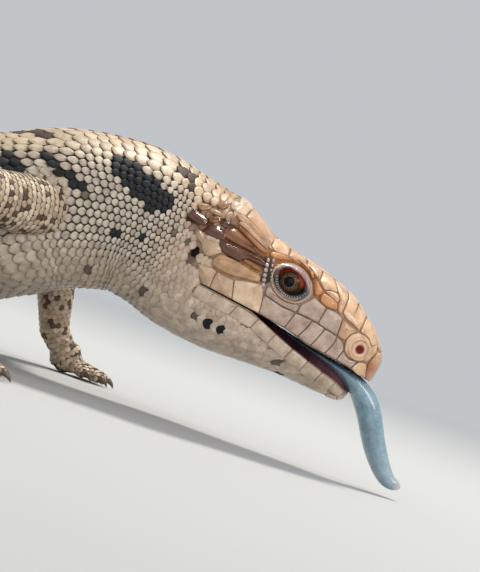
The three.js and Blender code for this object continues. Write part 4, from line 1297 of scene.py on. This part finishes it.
# Tongue: broad, fleshy and wet, blue from root to tip. It lies in the jaw, hangs
# over the lower lip and curls forward at its notched end.
# In the mouth: distance behind the snout, height, half width and half thickness.
# Hanging: distance ahead of the snout, height over the floor, and the same two.
TONGUE_INSIDE = [(28, -4.9, 4.6, 0.5), (18, -6.0, 5.6, 0.8), (10, -6.75, 6.0, 1.45),
                 (4.0, -8.0, 5.6, 2.55)]
TONGUE_HANGING = [(0.4, 21.6, 4.75, 3.45), (6.0, 11.8, 4.15, 3.1), (11.2, 5.3, 3.2, 2.35),
                  (16.0, 3.5, 1.7, 1.25)]
places = [on_head(along, 0, height) for along, height, _, _ in TONGUE_INSIDE]
places += [np.array([SNOUT[0] + ahead, SNOUT[1], height]) for ahead, height, _, _ in TONGUE_HANGING]
TONGUE_RINGS, TONGUE_SIDES, TONGUE_GAP = 110, 40, 0.25
line = smooth_path(places, TONGUE_RINGS)
left, up = path_frames(line)
t = np.linspace(0, len(places) - 1, TONGUE_RINGS)
stops = TONGUE_INSIDE + TONGUE_HANGING
wide, thick = (profile([(i, stop[n]) for i, stop in enumerate(stops)])(t) for n in (2, 3))
turn = full_turn(TONGUE_SIDES)
side = rounded(np.cos(turn), 0.85)
rise = np.sin(turn)
end = np.clip((t - 6.6) / 0.4, 0, 1)
round_end = np.sqrt(np.maximum(0.02, 1 - end ** 2))
groove = 0.16 * np.exp(-(side / 0.22) ** 2) * (rise > 0)
notch = np.exp(-(side / 0.28) ** 2)
wave = 0.035 * np.sin(t * 41)[:, None] * np.sin(turn * 3 + 1)[None, :]
wave = wave + 0.02 * np.sin(t * 97 + 2)[:, None] * np.cos(turn * 5)[None, :]
body = (line[:, None] + left[:, None] * (side[None, :] * (wide * round_end)[:, None])[..., None]
        + up[:, None] * ((rise - groove)[None, :] * (thick * round_end)[:, None])[..., None])
radial = left[:, None] * side[None, :, None] + up[:, None] * rise[None, :, None]
body = body + radial * wave[..., None]
forward = unit(np.gradient(line, axis=0))
body = body - forward[:, None] * (end[:, None] * notch[None, :])[..., None]
body[..., 2] = np.maximum(body[..., 2], TONGUE_GAP)
tongue = new_piece("tongue_flesh", body, tube_faces(TONGUE_RINGS, TONGUE_SIDES))
write(tongue, "share", np.repeat(t / t[-1], TONGUE_SIDES))
turned_out(tongue, merge=False)
tongue_flesh, tree, shader = new_material(
    "tongue_flesh", Roughness=0.34, Coat_Weight=0.8, Coat_Roughness=0.12, Specular_IOR_Level=0.5)
spots = use_group(tree, MOTTLE, 380.0)
blue = mix(tree, spots["Wide"], (0.105, 0.20, 0.265), (0.21, 0.33, 0.40))
share = read(tree, "share")
blue = mix(tree, between(tree, share, 0.1, 0.34, 1.0, 0.0), blue, (0.06, 0.12, 0.17))
blue = mix(tree, between(tree, share, 0.62, 0.95, 0.0, 0.45), blue, (0.42, 0.50, 0.55))
blue = mix(tree, between(tree, share, 0.945, 0.985), blue, (0.60, 0.42, 0.36))
link(tree, blue, shader.inputs["Base Color"])
add_grain(tree, shader, 1100.0, 0.45, 0.0003)
finish(tongue, tongue_flesh)
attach(tongue, "root")
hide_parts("tongue")

# Coat of the body: smooth horny scales in rows along the body, each lying over the
# front of the next, in a quincunx. They are small on the neck and grow on the back.
ROWS = 48
CREST = math.pi / 2
CHART_STEP, SHARES = 1.5, 240
SHOULDER_LINE = 90.0
chart_along = np.arange(4.5, TOTAL_LENGTH - 0.4, CHART_STEP)


def down_of(turn):
    """Degrees down from the crest: 90 is the side, 180 the middle of the belly."""
    return 180 - np.degrees(np.abs((turn - CREST) % (2 * np.pi) - np.pi))


def row_weight(along, down):
    """The width of a row against the others."""
    neck = np.interp(down, [0, 35, 58, 112, 140, 180], [1.5, 1.15, 0.50, 0.50, 1.0, 1.25])
    trunk = np.interp(down, [0, 40, 90, 130, 180], [1.12, 1.05, 1.0, 1.1, 1.25])
    return neck + (trunk - neck) * np.interp(along, [78, 125], [0, 1])


def spacing(along, down):
    """The distance from one scale of a row to the next."""
    base = np.interp(along, [0, 30, 62, 75, 85, 95, 110, 140, 250, 310, 380, 470, 485],
                     [2.7, 2.5, 2.0, 2.0, 2.3, 2.8, 3.3, 3.9, 4.0, 3.4, 2.9, 2.0, 1.8])
    neck = np.interp(down, [0, 38, 58, 112, 140, 180], [1.35, 1.15, 0.70, 0.70, 1.0, 1.2])
    return base * (1 + (neck - 1) * np.interp(along, [75, 125], [1, 0]))


def chart_table():
    """The turn of each share of the way round, at each distance."""
    fine = CREST + np.linspace(0, 2 * np.pi, 721)
    along, turn = np.meshgrid(chart_along, fine, indexing="ij")
    steps = np.linalg.norm(np.diff(on_body(along, turn), axis=1), axis=2)
    weight = row_weight(along[:, 1:], down_of(turn[:, 1:]))
    measure = np.cumsum(np.hstack([np.zeros((len(steps), 1)), steps / weight]), axis=1)
    shares = np.linspace(0, 1, SHARES + 1)
    return np.array([np.interp(shares, row / row[-1], fine) for row in measure])


TURN_TABLE = chart_table()


def turn_at(along, share):
    """The turn of a share of the way round, read from the table."""
    x = np.clip((along - chart_along[0]) / CHART_STEP, 0, len(chart_along) - 1.001)
    y = (share % 1.0) * SHARES
    i, j = x.astype(int), np.minimum(y.astype(int), SHARES - 1)
    u, v = x - i, y - j
    low = TURN_TABLE[i, j] * (1 - v) + TURN_TABLE[i, j + 1] * v
    high = TURN_TABLE[i + 1, j] * (1 - v) + TURN_TABLE[i + 1, j + 1] * v
    return low * (1 - u) + high * u


def row_places(share, start, end, shift):
    """Where a row's scales sit, counted from a line behind the shoulder."""
    fine = np.arange(start, end, 0.5)
    count = np.cumsum(0.5 / spacing(fine, down_of(turn_at(fine, np.full(len(fine), share)))))
    count -= np.interp(SHOULDER_LINE, fine, count)
    numbers = np.arange(math.ceil(count[0]), math.floor(count[-1]) - 0.5) + shift
    return np.interp(numbers, count, fine)


coat_random = np.random.default_rng(41)
TAIL_JOINT, TIP_JOINT, JOINT_SPREAD = 250.0, 455.0, 60
COAT_START, COAT_END = 5.0, TOTAL_LENGTH - 2.4
found = []
for width in (1, 2, 4):
    for row in range(ROWS // width):
        joint = TAIL_JOINT + JOINT_SPREAD * (row * width // 2 * 7 % (ROWS // 2)) / (ROWS // 2)
        spans = {1: (COAT_START, joint), 2: (joint - 2.0, TIP_JOINT), 4: (TIP_JOINT - 1.5, COAT_END)}
        start, end = spans[width]
        share = (row + 0.5) / (ROWS // width)
        found += [(at, share, width) for at in row_places(share, start, end, (row % 2) / 2)]
scale_at, scale_share, scale_rows = np.array(found).T
scale_turn = turn_at(scale_at, scale_share)
scale_down = down_of(scale_turn)
scale_side = np.where(scale_share < 0.5, -1, 1)
flank = np.interp(scale_at, [60, 68, 104, 130], [0, 1, 1, 0])
flank *= np.interp(scale_down, [40, 52, 104, 125], [0, 1, 1, 0])
throat = np.interp(scale_at, [54, 66], [1, 0])
scale_long = spacing(scale_at, scale_down) * (0.74 - 0.16 * flank + 0.08 * throat)
scale_wide = scale_rows / ROWS * (0.70 - 0.16 * flank + 0.06 * throat)

# A scale is left out where a plate of the head lies, in the mouth, the eye and the
# ear, and where a leg leaves the body.
hide_tree = BVHTree.FromPolygons([vertex.co[:] for vertex in skin.data.vertices],
                                 [face.vertices[:] for face in skin.data.polygons])


def inside(outline, x, y):
    """Which points lie inside an outline."""
    hit = np.zeros(len(x), dtype=bool)
    ends = np.roll(outline, -1, axis=0)
    for (x0, y0), (x1, y1) in zip(outline, ends):
        if y0 != y1:
            hit ^= ((y0 > y) != (y1 > y)) & (x < (x1 - x0) * (y - y0) / (y1 - y0) + x0)
    return hit


kept = scale_at > 0
turn_now = np.mod(scale_turn, 2 * np.pi)
near_head = scale_at < 66
for outline in head_plates.outlines + jaw_plates.outlines:
    outline = np.array(outline)
    for lap in (-2 * np.pi, 0, 2 * np.pi):
        kept[near_head] &= ~inside(outline + [0, lap], scale_at[near_head], turn_now[near_head])
lips = np.minimum(on_jaw_turn(scale_at), 0)
ear_turn = on_side(EAR["along"], EAR["height"])
for turn in (ear_turn, math.pi - ear_turn):
    away = np.abs((turn_now - turn + math.pi) % (2 * math.pi) - math.pi)
    kept &= ~((np.abs(scale_at - EAR["along"]) < 1.7) & (away * 24 < 2.6))
kept &= ~((scale_at < MOUTH_CORNER - 1) & (scale_down < 180 - np.degrees(CREST + lips) + 2.0))
spots = on_body(scale_at, scale_turn, -0.4)
for i in np.flatnonzero(kept):
    _, _, _, far = hide_tree.find_nearest(Vector(spots[i] * MM))
    kept[i] = far is not None and far < 0.0012
scale_at, scale_share, scale_long, scale_wide, scale_down, scale_side, scale_turn = (
    values[kept] for values in (
        scale_at, scale_share, scale_long, scale_wide, scale_down, scale_side, scale_turn))

# Markings, measured on the right side as distance and degrees down from the crest:
# the black patch on the shoulder, its spots, dashes on the nape and broken bands.
BLACK = [
    [(85, 48), (83, 48), (81, 47), (78, 50), (76.5, 52), (75, 55), (73.5, 58), (72, 60), (70, 61), (70, 73),
     (72, 74), (72.5, 80), (75.5, 78), (78, 75), (79.5, 72), (81.5, 69), (82.5, 63), (84.5, 56)],
    [(82.5, 94), (80, 96), (76.5, 97), (77.5, 102), (79, 101), (80.5, 96)],
    [(75.5, 94), (74, 92), (72.5, 90), (71, 96), (71, 100), (73, 93)],
    [(96.5, 51), (95, 54), (94, 62), (93, 66), (92, 70), (90.5, 71), (89, 72), (88.5, 78), (91, 80),
     (93.5, 74), (95, 70), (97, 62)],
    [(105.5, 47), (104, 49), (101.5, 50), (102, 64), (100.5, 66), (99, 70), (103, 72), (107, 60)],
    [(70.5, 44), (73, 44), (74.5, 47), (71, 48)], [(66.5, 41), (69, 41), (70, 44), (67, 45)],
    [(69.5, 28), (72, 28), (72, 31), (69, 31)], [(64, 26), (66.5, 27), (66, 31), (63.5, 30)],
    [(103.5, 12), (105, 16), (100, 29), (98, 34), (95, 34), (98, 24), (101, 15)],
]
RED = [[(96, 12), (76, 12), (76, 0), (97, 0)], [(93, 20), (90, 17), (77, 21), (74, 25), (84, 25)],
       [(140, 14), (112, 24), (108, 12), (112, 0), (140, 0)]]
BANDS = [(122, 5.0), (146, 5.5), (171, 6.5), (196, 6.0), (221, 6.5), (246, 6.0), (271, 6.0), (296, 5.5),
         (320, 5.5), (344, 5.0), (367, 5.0), (389, 4.5), (410, 4.2), (430, 4.0), (448, 3.6), (465, 3.2)]


def waves(along, down, side):
    """A slow wander for the edges of the markings, the same on each run."""
    return (np.sin(down / 13.0 + along / 29.0 + side) * 2.2
            + np.sin(down / 6.1 - along / 17.0 + 2.0 * side) * 1.2
            + np.sin(along / 3.7 + down / 9.0) * 0.8)


def masks(along, down, side):
    """How black and how red each scale is."""
    black, red = np.zeros(len(along)), np.zeros(len(along))
    drift = np.where(side > 0, 1.6, 0.0)
    for outline in BLACK:
        black[inside(np.array(outline, dtype=float), along + drift, down - drift)] = 1.0
    for outline in RED:
        red[inside(np.array(outline, dtype=float), along, down)] = 1
    wander = waves(along, down, side)
    for centre, width in BANDS:
        away = np.abs(along + wander - centre - side * 1.5)
        low = np.interp(down, [0, 25, 60, 95, 125, 135], [0.75, 0.95, 1.25, 1.0, 0.35, 0.0])
        black = np.maximum(black, np.clip((width * low - away) / 1.5, 0, 1) * (along > 108))
    return black, red


def blended(low, high, share):
    """Colours between two, by a share for each scale."""
    return np.asarray(low) * (1 - share[:, None]) + np.asarray(high) * share[:, None]


BACK, FLANK, BELLY = (0.58, 0.475, 0.335), (0.52, 0.465, 0.385), (0.57, 0.48, 0.375)
THROAT, FOLD, TEMPLE = (0.62, 0.51, 0.41), (0.56, 0.44, 0.34), (0.17, 0.075, 0.034)
GOLD, AMBER, BRICK = (0.44, 0.29, 0.155), (0.44, 0.24, 0.12), (0.36, 0.11, 0.06)
BROWN, INK, GREY = (0.085, 0.042, 0.024), (0.006, 0.010, 0.015), (0.30, 0.24, 0.17)


def scale_tints(along, down, side, random):
    """The colour of each scale, by its place and a little by chance."""
    tint = blended(BACK, FLANK, np.interp(down, [38, 62], [0, 1]))
    tint = blended(tint, BELLY, np.interp(down, [108, 140], [0, 1]))
    tint = blended(tint, THROAT, np.interp(along, [56, 66], [1, 0]) * (down > 70))
    fold = np.interp(along, [63, 70], [1, 0]) * np.interp(down, [58, 66, 108, 122], [0, 1, 1, 0])
    tint = blended(tint, FOLD, fold)
    nape = np.interp(along, [60, 72], [1, 0]) * (down < 62)
    tint = blended(tint, AMBER, nape * 0.6)
    temple = np.interp(along, [62, 65], [1, 0]) * (down < 74)
    golden = blended(GOLD, TEMPLE, np.interp(down, [36, 52], [0, 1]))
    share = (temple * (0.5 + 0.5 * random.random(len(along))))[:, None]
    tint = tint * (1 - share) + golden * share
    black, red = masks(along, down, side)
    dark = blended(BROWN, INK, np.interp(down, [20, 48], [0, 1]))
    tint = blended(tint, BRICK, np.clip(red * 0.9, 0, 1))
    count = len(along)
    grey = np.interp(along, [105, 130], [0, 1]) * (down < 100)
    tint = blended(tint, GREY, grey * (0.35 + 0.35 * random.random(count)))
    tint = tint * (1 - black[:, None]) + dark * black[:, None]
    stray = (random.random(count) < np.interp(down, [0, 60, 110, 180], [0.01, 0.015, 0.012, 0.02]))
    tint = np.where(stray[:, None], tint * 0.25, tint)
    lone = (random.random(count) < 0.012) & (black > 0.5) & (down > 40)
    tint = np.where(lone[:, None], np.asarray(FLANK), tint)
    tint = tint * (0.86 + 0.28 * random.random((count, 1)))
    return tint * (1 + 0.012 * random.standard_normal((count, 3)))


def scale_template(points):
    """A scale's rings in its own measure: forward, across, rise, and how far in."""
    turn = full_turn(points)
    power = 2 / 1.6
    round_u, round_v = rounded(np.cos(turn), power), rounded(np.sin(turn), power)
    rings = [(1.0, -2.0, 0.0), (1.0, -0.14, 0.0), (0.90, 0.0, 0.35), (0.5, 0.07, 1.0)]
    u = np.concatenate([round_u * size for size, _, _ in rings])
    v = np.concatenate([round_v * size for size, _, _ in rings])
    rise = np.repeat([height for _, height, _ in rings], points)
    rim = np.repeat([share for _, _, share in rings], points)
    return u, v, rise, rim


def scales_piece(name, positions, sides, tints, rims, unwrap, ahead, seams):
    """A mesh of many like scales: positions is scales x template points x 3."""
    count, points = positions.shape[:2]
    faces = []
    template = tube_faces(points // sides, sides)
    for shift in range(0, count * points, points):
        faces += [[index + shift for index in face] for face in template]
    piece = new_piece(name, positions, faces)
    write_tint(piece, np.repeat(np.clip(tints, 0, 1), points, axis=0))
    write(piece, "rim", np.tile(rims, count))
    write(piece, "ahead", np.tile(ahead, count))
    write(piece, "seam", np.repeat(seams, points))
    write_unwrap(piece, unwrap.reshape(-1, 2))
    turned_out(piece, merge=False)
    finish(piece, scale_horn)
    return piece


BAKE_PATCH = 0.0014
FLECKS = [(45.8, -11.9), (45.2, -13.0), (44.1, -15.1), (54.9, -11.4), (31.1, -14.2), (22.5, -15.3),
          (48.5, -10.5), (42.2, -12.2), (51.0, -14.6), (38.0, -16.0)]
FLECK_REACH = 0.62
COAT_SIDES, LEG_SIDES = 12, 9
u, v, rise, rims = scale_template(COAT_SIDES)
count = len(scale_at)
jitter = coat_random.random((count, 1))
long_now = scale_long[:, None] * (0.97 + 0.06 * jitter)
along = scale_at[:, None] + u * long_now + coat_random.normal(0, 0.06, (count, 1))
share = scale_share[:, None] + v * scale_wide[:, None] * (1 - 0.12 * np.maximum(0, -u))
bed_now = np.interp(scale_at, [NECK_START, NECK_START + 8], [0.15, COAT_DEPTH])[:, None]
lift_rear, lift_front = -0.04 + 0.25 * (COAT_DEPTH - bed_now), 0.12 - bed_now
level = lift_front + (lift_rear - lift_front) * (u + 1) / 2 + 0.08 * (jitter - 0.5)
sunk = -bed_now - 0.4
small = (np.minimum(1.0, scale_long / 1.6) * np.interp(scale_at, [50, 70], [0.4, 1.0]))[:, None]
grow = np.where(rise < -1, sunk, level + rise * small)
along = np.clip(along, chart_along[0], TOTAL_LENGTH - 0.8)
turn = turn_at(along, share)
placed = on_body(along, turn, grow)
tints = scale_tints(scale_at, scale_down, scale_side, coat_random)
_, _, height = to_head(on_body(scale_at, scale_turn))
drift = np.where(scale_side > 0, 1.2, 0.0)
for fleck_along, fleck_height in FLECKS:
    hit = (scale_at + drift - fleck_along) ** 2 + (height - fleck_height - drift) ** 2 < FLECK_REACH ** 2
    tints[hit & (scale_at < 60)] = INK
seams = np.interp(scale_down, [112, 145], [1.0, 0.35]) * np.interp(scale_at, [48, 66], [0.3, 1.0])
unwrap = np.stack([(scale_at / TOTAL_LENGTH)[:, None] + u * BAKE_PATCH,
                   (scale_share * 0.98 + 0.01)[:, None] + v * BAKE_PATCH], axis=2)
scale_horn, tree, shader = new_material("scale_horn", Specular_IOR_Level=0.3)
tint, rim, ahead = read(tree, "tint", "Color"), read(tree, "rim"), read(tree, "ahead")
spots = use_group(tree, MOTTLE, 520.0)
darker = mix(tree, 1.0, tint, (0.66, 0.60, 0.55), "MULTIPLY")
base = mix(tree, spots["Wide"], darker, tint)
base = mix(tree, between(tree, spots["Fine"], 0.0, 0.2, 0.35, 0.0), base, (0.09, 0.06, 0.045))
seam = read(tree, "seam")
edge = reckon(tree, "MULTIPLY", between(tree, rim, 0.0, 0.34, 0.85, 0.0), seam)
base = mix(tree, edge, base, (0.030, 0.022, 0.02))
root_shade = reckon(tree, "MULTIPLY", between(tree, ahead, -1.0, -0.2, 0.6, 0.0), seam)
base = mix(tree, root_shade, base, (0.045, 0.03, 0.025))
link(tree, base, shader.inputs["Base Color"])
link(tree, between(tree, read(tree, "tint"), 0.02, 0.2, 0.62, 0.42), shader.inputs["Roughness"])
add_grain(tree, shader, 1500.0, 0.25, 0.00012)

# The hide is darker than the scale or plate that it shows beside. In the ear holes and in
# the crease behind each eye it is painted near black: painted shade in these hollows.
EAR_DEPTHS, CREASE_PAINTED_SHADE = (20, 21.5, 23), (0.05, 0.032, 0.032)
CREASE = [(39.9, 10), (39.7, 9), (39.4, 8), (39.1, 7), (38.8, 6), (38.5, 5), (38.1, 4), (38.2, 8.6),
          (40.6, 9.2), (40.4, 7.6)]
near_points = [placed[:, 2 * COAT_SIDES]]
near_points += [np.array(points)[::7] for points in head_plates.points + jaw_plates.points]
near_tints = [blended(tints, INK, 0.86 * seams)]
near_tints += [np.array(tint)[::7] for tint in head_plates.tint + jaw_plates.tint]
# Painted shade: points deep in each ear hole and along the crease behind each eye, where the hide is painted
# near black.
painted_shade_spots = [on_head(EAR["along"], side * depth, EAR["height"]) for side in (-1, 1) for depth in EAR_DEPTHS]
crease = outline_of(CREASE, [])
painted_shade_spots += [on_body(along, turn, 0) for along, turn in over(crease) + crease]
near_points.append(np.array(painted_shade_spots))
near_tints.append(np.tile(CREASE_PAINTED_SHADE, (len(painted_shade_spots), 1)))
near_points, near_tints = np.vstack(near_points), np.vstack(near_tints)
nearest = KDTree(len(near_points))
for i, point in enumerate(near_points):
    nearest.insert(point * MM, i)
nearest.balance()
picked = [nearest.find(vertex.co)[1] for vertex in skin.data.vertices]
write_tint(skin, np.clip(near_tints[picked], 0, 1))

COAT_PARTS = [("neck_scales", 0, 100), ("torso_scales_front", 100, 180), ("torso_scales_rear", 180, 262),
              ("tail_scales", 262, 500)]
for name, start, end in COAT_PARTS:
    chosen = (scale_at >= start) & (scale_at < end)
    piece = scales_piece(name, placed[chosen], COAT_SIDES, tints[chosen], rims,
                         unwrap[chosen], u, seams[chosen])
    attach(piece, "root")

# Scales of the legs and toes: small, round and close, in rows down each limb. They
# lie on the hide where each row passes.
LEG_TAN, LEG_PALE, LEG_DARK = (0.50, 0.39, 0.28), (0.62, 0.52, 0.40), (0.11, 0.07, 0.045)
LEG_SPACING, TOE_SPACING = 1.85, 1.5
LEG_HALF, LEG_SEAM, LEG_GAP = 0.58, 0.8, 0.05


def carried_frames(line):
    """Two directions across a line that turn with it and never twist."""
    ahead = unit(np.gradient(line, axis=0))
    across = [np.cross(ahead[0], [0.1, 0.2, 1.0])]
    for way in ahead[1:]:
        next_one = across[-1] - way * (across[-1] @ way)
        across.append(next_one / np.linalg.norm(next_one))
    across[0] = across[0] / np.linalg.norm(across[0])
    across = np.array(across)
    return ahead, across, np.cross(ahead, across)


def limb_scales(stops, radii, spacing, first, last):
    """Centres, ways down the limb and sizes of the scales along a limb's line."""
    line = smooth_path(stops, 160)
    run = np.concatenate([[0], np.cumsum(np.linalg.norm(np.diff(line, axis=0), axis=1))])
    ahead, across, up = carried_frames(line)
    width = np.interp(np.linspace(0, len(stops) - 1, 160), np.arange(len(stops)), radii)
    found, at, odd = [], first, 0
    while at < run[-1] - last:
        radius = float(np.interp(at, run, width))
        around = max(6, int(round(2 * math.pi * radius / (spacing * 0.95))))
        centre, way, one, two = (np.array([np.interp(at, run, table[:, i]) for i in range(3)])
                                 for table in (line, ahead, across, up))
        for k in range(around):
            angle = (k + odd / 2) * 2 * math.pi / around
            out = one * math.cos(angle) + two * math.sin(angle)
            found.append((*(centre + out * radius), *way, *out, radius))
        at += spacing * 0.78
        odd = 1 - odd
    return np.array(found)


limb_u, limb_v, limb_rise, limb_rims = scale_template(LEG_SIDES)
leg_random = np.random.default_rng(17)
for name, plan in leg_plans.items():
    root, knee, wrist, palm = plan["joints"]
    a, b, c = plan["radii"]
    runs = [(limb_scales([root, root * 0.5 + knee * 0.5, knee, knee * 0.5 + wrist * 0.5, wrist, palm],
                         (a, (a + b) / 2, b, (b + c) / 2, c, c * 1.1), LEG_SPACING, 0.6, 0.0), LEG_SPACING)]
    for toe in plan["toes"]:
        stops = [palm, *toe_stops(palm, toe)]
        runs.append((limb_scales(stops, (3.0, 2.1, 1.75, 1.3), TOE_SPACING, 2.0, 0.8), TOE_SPACING))
    positions, colours, unwrap, seen = [], [], [], []
    for run, size in runs:
        for item in run:
            place, way, out = item[:3], item[3:6], item[6:9]
            spot, normal, _, far = hide_tree.find_nearest(Vector(place * MM))
            if spot is None or far > 0.0045 or np.dot(out, normal) < 0.25:
                continue
            spot, normal = np.array(spot) / MM, np.array(normal)
            if any(np.abs(spot - other).sum() < size * 0.62 for other in seen[-260:]):
                continue
            seen.append(spot)
            way = way - normal * (way @ normal)
            way /= np.linalg.norm(way)
            side_way = np.cross(normal, way)
            tall = np.where(limb_rise < -1, -0.35, 0.22 + 0.2 * limb_u + limb_rise * 0.7)
            points = (spot + way * (limb_u * size * LEG_HALF)[:, None]
                      + side_way * (limb_v * size * LEG_HALF)[:, None] + normal * tall[:, None])
            points[:, 2] = np.maximum(points[:, 2], LEG_GAP)
            positions.append(points)
            chance = leg_random.random()
            tint = LEG_DARK if chance < 0.13 else LEG_PALE if chance < 0.5 else LEG_TAN
            colours.append(np.array(tint) * (0.82 + 0.32 * leg_random.random()))
            u0 = 0.05 + 0.9 * ((spot[0] - SNOUT[0]) / 60 % 1.0)
            v0 = 0.05 + 0.9 * (math.atan2(out[2], out[1]) / (2 * math.pi) % 1.0)
            unwrap.append(np.stack([u0 + limb_u * BAKE_PATCH, v0 + limb_v * BAKE_PATCH], axis=1))
    piece = scales_piece(name + "_scales", np.array(positions), LEG_SIDES, np.array(colours), limb_rims,
                         np.array(unwrap), limb_u, np.full(len(positions), LEG_SEAM))
    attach(piece, "root")

# Claws: short, curved and blunt from walking, of dark translucent horn.
CLAW_LINE = [(0.4, 1.9), (1.9, 2.25), (3.3, 1.5), (4.1, 0.45)]
claw_pieces = []
for plan in leg_plans.values():
    palm = plan["joints"][3]
    for toe in plan["toes"]:
        stops = along_toe(palm, toe, *((toe["length"] + distance, height) for distance, height in CLAW_LINE))
        claw_pieces.append(new_piece("claw", *rod(stops, (0.95, 0.85, 0.5, 0.12), (1.0, 0.9, 0.55, 0.12),
                                                  rings=12, sides=12)))
claws = join(claw_pieces)
claws.name = "claws"
turned_out(claws, merge=False)
claw_horn, tree, shader = new_material("claw_horn", Roughness=0.3, Coat_Weight=0.3, Coat_Roughness=0.2)
spots = use_group(tree, MOTTLE, 500.0)
link(tree, mix(tree, spots["Wide"], (0.035, 0.022, 0.014), (0.16, 0.10, 0.055)),
     shader.inputs["Base Color"])
add_grain(tree, shader, 900.0, 0.3, 0.0002)
finish(claws, claw_horn)
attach(claws, "root")
